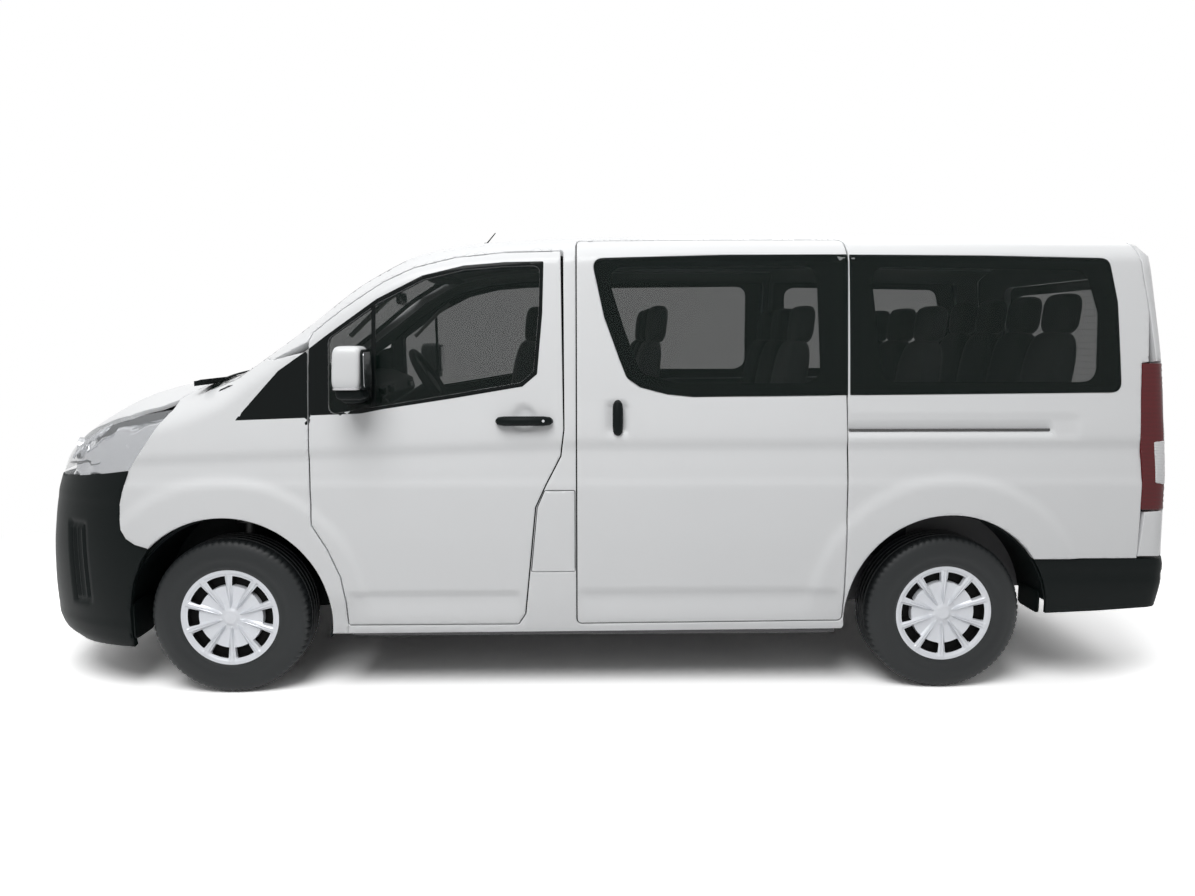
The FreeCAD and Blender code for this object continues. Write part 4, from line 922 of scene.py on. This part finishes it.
def cap_grid():
    """Wheel cap's face in polar steps: dome, ten spokes, ten deep slots, rim lip.
    Height over the hub plane = base(r) + spoke ridges - slot depth."""
    radii = np.unique(np.concatenate([np.linspace(0.02, 1, 56), [0.621, 0.635, 0.815, 0.829]])) * CAP_R
    t = np.linspace(0, 2 * math.pi, 360, endpoint=False)
    r, a = np.meshgrid(radii, t)
    share = r / CAP_R
    from_spoke = np.abs((a * 10 / (2 * math.pi) + 0.5) % 1 - 0.5) * 2
    base = 86 + 10 * (1 - step(share, 0.10, 0.20)) + 9 * np.sin(np.clip(share, 0, 1) * math.pi * 0.55)
    base += 7 * step(share, 0.84, 0.90) - 9 * step(share, 0.955, 1.0)
    base -= 7 * band(share, 0.30, 0.60, 0.12) * band(from_spoke, 0.45, 1.0, 0.25)
    wide = 0.25 - 0.05 * share
    ridge = band(share, 0.22, 0.86, 0.05) * (1 - step(from_spoke, wide * 0.55, wide))
    groove = band(share, 0.25, 0.84, 0.04) * (1 - step(from_spoke, 0.03, 0.08))
    slot = band(share, 0.635, 0.815, 0.014) * step(from_spoke, 0.30, 0.36)
    height = base + 6 * ridge - 2.5 * groove - 26 * slot
    x, z = r * np.cos(a), r * np.sin(a)
    return np.stack([x, height, z], -1), slot


def wheels():
    for x, end in ((-HALF_BASE, "front"), (HALF_BASE, "rear")):
        for side, word in SIDES.items():
            body = "wheel_%s_%s" % (end, word)
            phase = math.radians(-90)
            rubber = surface("tyre_skin_%s_%s" % (end, word), place_wheel(tyre_grid(), x, side), RUBBER, body,
                             wrap=(True, True), sharp=35)
            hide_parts("tyre_%s_%s" % (end, word))
            face, slot = cap_grid()
            back = face[:, ::-1].copy()
            back[..., 1] = 52.0
            grid = np.concatenate([face, back], 1)
            nv = grid.shape[1]
            # Painted shade: the cap has no holes, so the floors of its ten slots take the black material. It
            # stands for the dark steel wheel seen through the slots and the shade inside them.
            deep = np.concatenate([slot, np.zeros_like(slot)], 1) > 0.5
            index = np.append(deep[:, :nv - 1].astype(int).ravel(), [0, 0])
            cap = surface("wheel_cap_%s_%s" % (end, word), place_wheel(grid, x, side, phase),
                          [SILVER, SEAL_AND_SHADE], body, index=index, sharp=50)
            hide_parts(body)
            barrel = [(205, 86), (205.6, 84), (205.6, -84), (205, -90), (196, -90), (192, -60), (190, 40),
                      (190, 50), (60, 50), (60, 30), (180, 20), (196, 60), (198, 86)]
            _, ring = turned(barrel)
            surface("wheel_rim_%s_%s" % (end, word), place_wheel(ring, x, side), STEEL, body,
                    wrap=(True, True))


# ---- mirrors, handles, aerial and wipers --------------------------------------------------------------
def outside_parts():
    for side, word in SIDES.items():
        door = "front_door_" + word
        shell = pillow((-1004, side * 1072, 1468), (62, 84, 92), 5.5, rings=22, around=40, lean=0.05)
        housing = surface("mirror_housing_" + word, shell, PAINT, door)
        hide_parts("door_mirror_" + word)
        parts = [pillow((-1000, side * 1066, 1362), (60, 78, 27), 4, rings=14, around=32, lean=-0.2),
                 pillow((-1010, side * 985, 1338), (46, 62, 22), 4, rings=12, around=28),
                 pillow((-938, side * 1072, 1462), (6, 76, 84), 7, rings=14, around=32)]
        merged("mirror_base_" + word, parts, BLACK, door)
        merged("mirror_glass_" + word, [pillow((-933, side * 1072, 1462), (3, 66, 74), 7)], CHROME, door)
        merged("mirror_lamp_strip_" + word, [pillow((-1008, side * 1080, 1383), (55, 78, 4.5), 6)], RIBBED,
               door)
        chart = flank(side)

        def at(x, z, far):
            p = chart(np.array([[x, z]], float))[0]
            return p + normals_at(p[None])[0] * far
        path = np.array([at(x, 1232, far) for x, far in
                         ((-399, 6), (-393, 20), (-370, 32), (-285, 36), (-200, 32), (-175, 20), (-169, 6))])
        size = [12, 18, 21, 21, 21, 18, 12]
        merged("door_handle_" + word, [tube(path, size, 16)], BLACK, door)
        merged("door_lock_" + word, [tube(np.array([at(-200, 1232, 48), at(-200, 1232, 57)]), 6, 16)],
               CHROME if side < 0 else BLACK, door)
        rise = ((1180, -6), (1186, 4), (1210, 8), (1280, 8), (1304, 4), (1310, -6))
        path = np.array([at(124, z, far) for z, far in rise])
        merged("sliding_door_pull_" + word, [tube(path, [16, 21, 23, 23, 21, 16], 16)], BLACK, "body")
        guide = np.array([at(x, 1190, -11) for x in np.linspace(1146, 2040, 30)])
        merged("rail_guide_" + word, [tube(guide, 5, 8)], STEEL, "body")
        flap = box_grid((-2040, side * 740, 250), (-2030, side * 930, 420), 3)
        back = box_grid((2038, side * 740, 345), (2048, side * 930, 450), 3)
        merged("mud_flaps_" + word, [flap, back], BLACK, "body")
        inner = house_grid(HALF_BASE, 452, 458, 706, 955, side, (8, 172))
        merged("rear_liner_" + word, [inner], BLACK, "body")
        ring = house_grid(-HALF_BASE, 452, 457, 740, 935, side, (-12, 192))
        merged("front_liner_lip_" + word, [ring], BLACK, "body")
        y0, y1 = side * 855, side * 925
        merged("sill_step_" + word, [box_grid((-1070, y0, 262), (1120, y1, 282), 3)], GREY, "body")
    root = deck(np.array([[-505, -330]], float))[0]
    mast = np.array([root + np.array([d * 0.86, -d * 0.1, d]) for d in (-4, 6, 12, 60)])
    merged("aerial", [tube(mast, [13, 11, 3.2, 2.2], 14)], BLACK, "body")
    blades = []
    for y0, y1 in ((-640, -30), (60, 640)):
        path = deck(np.column_stack([np.linspace(-1690, -1640, 24), np.linspace(y0, y1, 24)]))
        blades.append(tube(path + normals_at(path) * 7, 5, 8))
        arm = deck(np.array([(-1718, y1 - 60), (-1700, (y0 + y1) / 2 + 90), (-1666, (y0 + y1) / 2)], float))
        blades.append(tube(arm + np.array([[0, 0, 6], [0, 0, 16], [0, 0, 14]]), 6, 8))
    merged("wipers", blades, BLACK, "body")


def house_grid(x, r0, r1, y0, y1, side, sweep):
    """Half-round liner over a wheel: [section, along the arch], sweep in degrees."""
    t = np.radians(np.linspace(*sweep, 60))
    section = [(r0, y0), (r1, y0), (r1, y1), (r0, y1)]
    return np.stack([np.stack([x + r * np.cos(t), np.full(len(t), side * y), AXLE_Z + r * np.sin(t)], -1)
                     for r, y in section])


# ---- cabin -----------------------------------------------------------------------------------------------
def seat_forms(x, y, width, floor_z, back_z, head_z):
    """Cushion, backrest and head restraint of one place whose backrest ends at x."""
    cushion = pillow((x - 285, y, floor_z - 42), (238, width / 2, 72), 4.5, crown=0.12, rings=20, around=36)
    rest = pillow((x - 78, y, (floor_z + back_z) / 2 + 10), (58, width / 2, (back_z - floor_z) / 2 + 12), 4.0,
                  rings=20, around=36, lean=0.16)
    head = pillow((x - 8, y, (back_z + head_z) / 2 + 10), (46, 128, (head_z - back_z) / 2 + 2), 3.6, rings=18,
                  around=32, lean=0.1)
    return cushion, rest, head


def seats():
    rows = [("front_seats", -250, [(-400, 500), (400, 500)], 1005, 1560, 1731)]
    for i, x in enumerate((330, 1020, 1640)):
        rows.append(("rear_seats", x, [(-560, 386), (-170, 386), (220, 386)], 1005, 1560, 1731))
    rows.append(("rear_seats", 2270, [(-560, 366), (-190, 366), (190, 366), (560, 366)], 1045, 1600, 1790))
    for k, (node, x, places, floor_z, back_z, head_z) in enumerate(rows):
        posts, feet = [], []
        for j, (y, width) in enumerate(places):
            names = ("seat_cushion", "seat_back", "head_restraint")
            for label, form in zip(names, seat_forms(x, y, width - 8, floor_z, back_z, head_z)):
                piece = surface("%s_%d_%d" % (label, k + 1, j + 1), form, CLOTH, "body")
                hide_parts(node)
            for dy in (-45, 45):
                posts.append(tube(np.array([(x - 22, y + dy, back_z - 40), (x - 12, y + dy, back_z + 60)]), 6,
                                  10))
            half = width / 2 - 50
            feet.append(box_grid((x - 460, y - half, 562), (x - 130, y + half, floor_z - 96), 8))
        merged("head_posts_%d" % (k + 1), posts, STEEL, "body")
        merged("seat_plinths_%d" % (k + 1), feet, CABIN, "body")


def cabin():
    hood = [pillow((-1190, -400, 1405), (110, 190, 34), 3), pillow((-1110, -400, 1300), (30, 60, 40), 3)]
    merged("instrument_hood", hood, CABIN, "body")
    vents = [box_grid((-1084, y - 55, 1300), (-1066, y + 55, 1338), 6) for y in (-690, -110, 110, 690)]
    merged("dash_vents", vents, GLOSS, "body")
    merged("dash_screen", [box_grid((-1092, -100, 1225), (-1074, 100, 1290), 6)], GLOSS, "body")
    lever = [tube(np.array([(-1130, -60, 1180), (-1085, -60, 1245), (-1060, -60, 1262)]), [12, 9, 16], 12)]
    merged("gear_lever", lever, CABIN, "body")
    stalk = np.array([(-985, 0, 1815), (-1000, 0, 1868)])
    glass = [pillow((-985, 0, 1800), (12, 115, 34), 4), tube(stalk, 8)]
    merged("inner_mirror", glass, GLOSS, "body")
    for side, word in SIDES.items():
        visor = deck(np.array([[-840, side * 380]], float))[0]
        board = pillow(visor + np.array([40, 0, -52]), (90, 190, 12), 4)
        merged("sun_visor_" + word, [board], LINING, "body")
        grip = flank(side)(np.array([(-1060, 1600), (-1000, 1660), (-900, 1760), (-840, 1800)], float))
        grip = grip * np.array([1, 0.90, 1])
        merged("grab_handle_" + word, [tube(grip, 11, 10)], LINING, "front_door_" + word)


front_frame()
screen_and_roof()
nose()
tail()
wheels()
outside_parts()
seats()
cabin()


# ---- setting: floor, backdrop, lamps, camera ----------------------------------------------------------
FLOOR_SEEN, FLOOR_BOUNCE = 1.75, 0.5
SKY_HIGH, SKY_LOW = 0.55, 0.16
FADE_NEAR, FADE_FAR = 0.75, 1.35      # share of the floor ellipse where white takes over


def sees_backdrop(tree):
    """1 for camera, glossy and transmission rays, so metal and glass show the backdrop too."""
    path = tree.nodes.new("ShaderNodeLightPath")
    fac = path.outputs["Is Camera Ray"]
    for kind in ("Is Glossy Ray", "Is Transmission Ray"):
        most = tree.nodes.new("ShaderNodeMath")
        most.operation = "MAXIMUM"
        tree.links.new(fac, most.inputs[0])
        tree.links.new(path.outputs[kind], most.inputs[1])
        fac = most.outputs[0]
    return fac


def white_floor():
    """Matt white floor, brighter to the camera than in what it throws back."""
    m = finish_of("studio_floor_white", (FLOOR_BOUNCE,) * 3, 1.0, tint=0.004, scale=1.0, spec=0.0)
    tree, new = m.node_tree, m.node_tree.nodes.new
    seen, mix = new("ShaderNodeBsdfDiffuse"), new("ShaderNodeMixShader")
    seen.inputs["Color"].default_value = (FLOOR_SEEN,) * 3 + (1,)
    where, scale, size = new("ShaderNodeTexCoord"), new("ShaderNodeVectorMath"), new("ShaderNodeVectorMath")
    scale.operation, size.operation = "MULTIPLY", "LENGTH"
    scale.inputs[1].default_value = (1 / 4.4, 1 / 2.9, 0)
    tree.links.new(where.outputs["Object"], scale.inputs[0])
    tree.links.new(scale.outputs["Vector"], size.inputs[0])
    fade, glow, far = new("ShaderNodeMapRange"), new("ShaderNodeEmission"), new("ShaderNodeMixShader")
    fade.interpolation_type = "SMOOTHSTEP"
    fade.inputs["From Min"].default_value, fade.inputs["From Max"].default_value = FADE_NEAR, FADE_FAR
    tree.links.new(size.outputs["Value"], fade.inputs["Value"])
    tree.links.new(fade.outputs["Result"], far.inputs["Fac"])
    tree.links.new(seen.outputs["BSDF"], far.inputs[1])
    tree.links.new(glow.outputs["Emission"], far.inputs[2])
    tree.links.new(sees_backdrop(tree), mix.inputs["Fac"])
    tree.links.new(tree.nodes["Principled BSDF"].outputs["BSDF"], mix.inputs[1])
    tree.links.new(far.outputs["Shader"], mix.inputs[2])
    tree.links.new(mix.outputs["Shader"], tree.nodes["Material Output"].inputs["Surface"])
    return m


def white_world():
    """White where it is seen, softer as a light."""
    world = bpy.data.worlds.new("studio_white")
    bpy.context.scene.world = world
    world.use_nodes = True
    tree, new = world.node_tree, world.node_tree.nodes.new
    back, mix = tree.nodes["Background"], new("ShaderNodeMix")
    back.inputs["Color"].default_value = (1, 1, 1, 1)
    where, axes, sky = new("ShaderNodeTexCoord"), new("ShaderNodeSeparateXYZ"), new("ShaderNodeMapRange")
    tree.links.new(where.outputs["Generated"], axes.inputs[0])
    tree.links.new(axes.outputs["Z"], sky.inputs["Value"])
    sky.inputs["From Min"].default_value, sky.inputs["From Max"].default_value = 0.0, 0.75
    sky.inputs["To Min"].default_value, sky.inputs["To Max"].default_value = SKY_LOW, SKY_HIGH
    tree.links.new(sky.outputs["Result"], mix.inputs["A"])
    mix.inputs["B"].default_value = 1.0
    tree.links.new(sees_backdrop(tree), mix.inputs["Factor"])
    tree.links.new(mix.outputs["Result"], back.inputs["Strength"])


def setting():
    mesh = bpy.data.meshes.new("studio_floor")
    s = 40.0
    mesh.from_pydata([(-s, -s, 0), (s, -s, 0), (s, s, 0), (-s, s, 0)], [], [(0, 1, 2, 3)])
    mesh.materials.append(white_floor())
    floor = bpy.data.objects.new("studio_floor", mesh)
    bpy.context.scene.collection.objects.link(floor)
    white_world()
    for name, place, aim, size, watts in (("key", (-1.5, -5.2, 7.2), (0, 0, 0.8), 5.0, 370),
                                          ("top", (0.5, 0.5, 7.5), (0, 0, 0), 9.0, 75),
                                          ("rear", (3.5, 5.5, 5.0), (0, 0, 0.6), 6.0, 110)):
        data = bpy.data.lights.new(name, "AREA")
        data.shape, data.size, data.energy = "DISK", size, watts
        lamp_obj = bpy.data.objects.new(name, data)
        lamp_obj.location = place
        lamp_obj.rotation_euler = (Vector(aim) - Vector(place)).to_track_quat("-Z", "Y").to_euler()
        bpy.context.scene.collection.objects.link(lamp_obj)
    data = bpy.data.cameras.new("camera")
    data.sensor_width, data.lens = 36.0, 27.48
    data.clip_end = 200
    camera = bpy.data.objects.new("camera", data)
    camera.location = (-0.0975, -4.922, 1.597)
    camera.rotation_euler = (math.radians(90 - 6.94), 0, -math.radians(1.20))
    bpy.context.scene.collection.objects.link(camera)
    bpy.context.scene.camera = camera
    bpy.context.scene.view_settings.view_transform = "Standard"


setting()
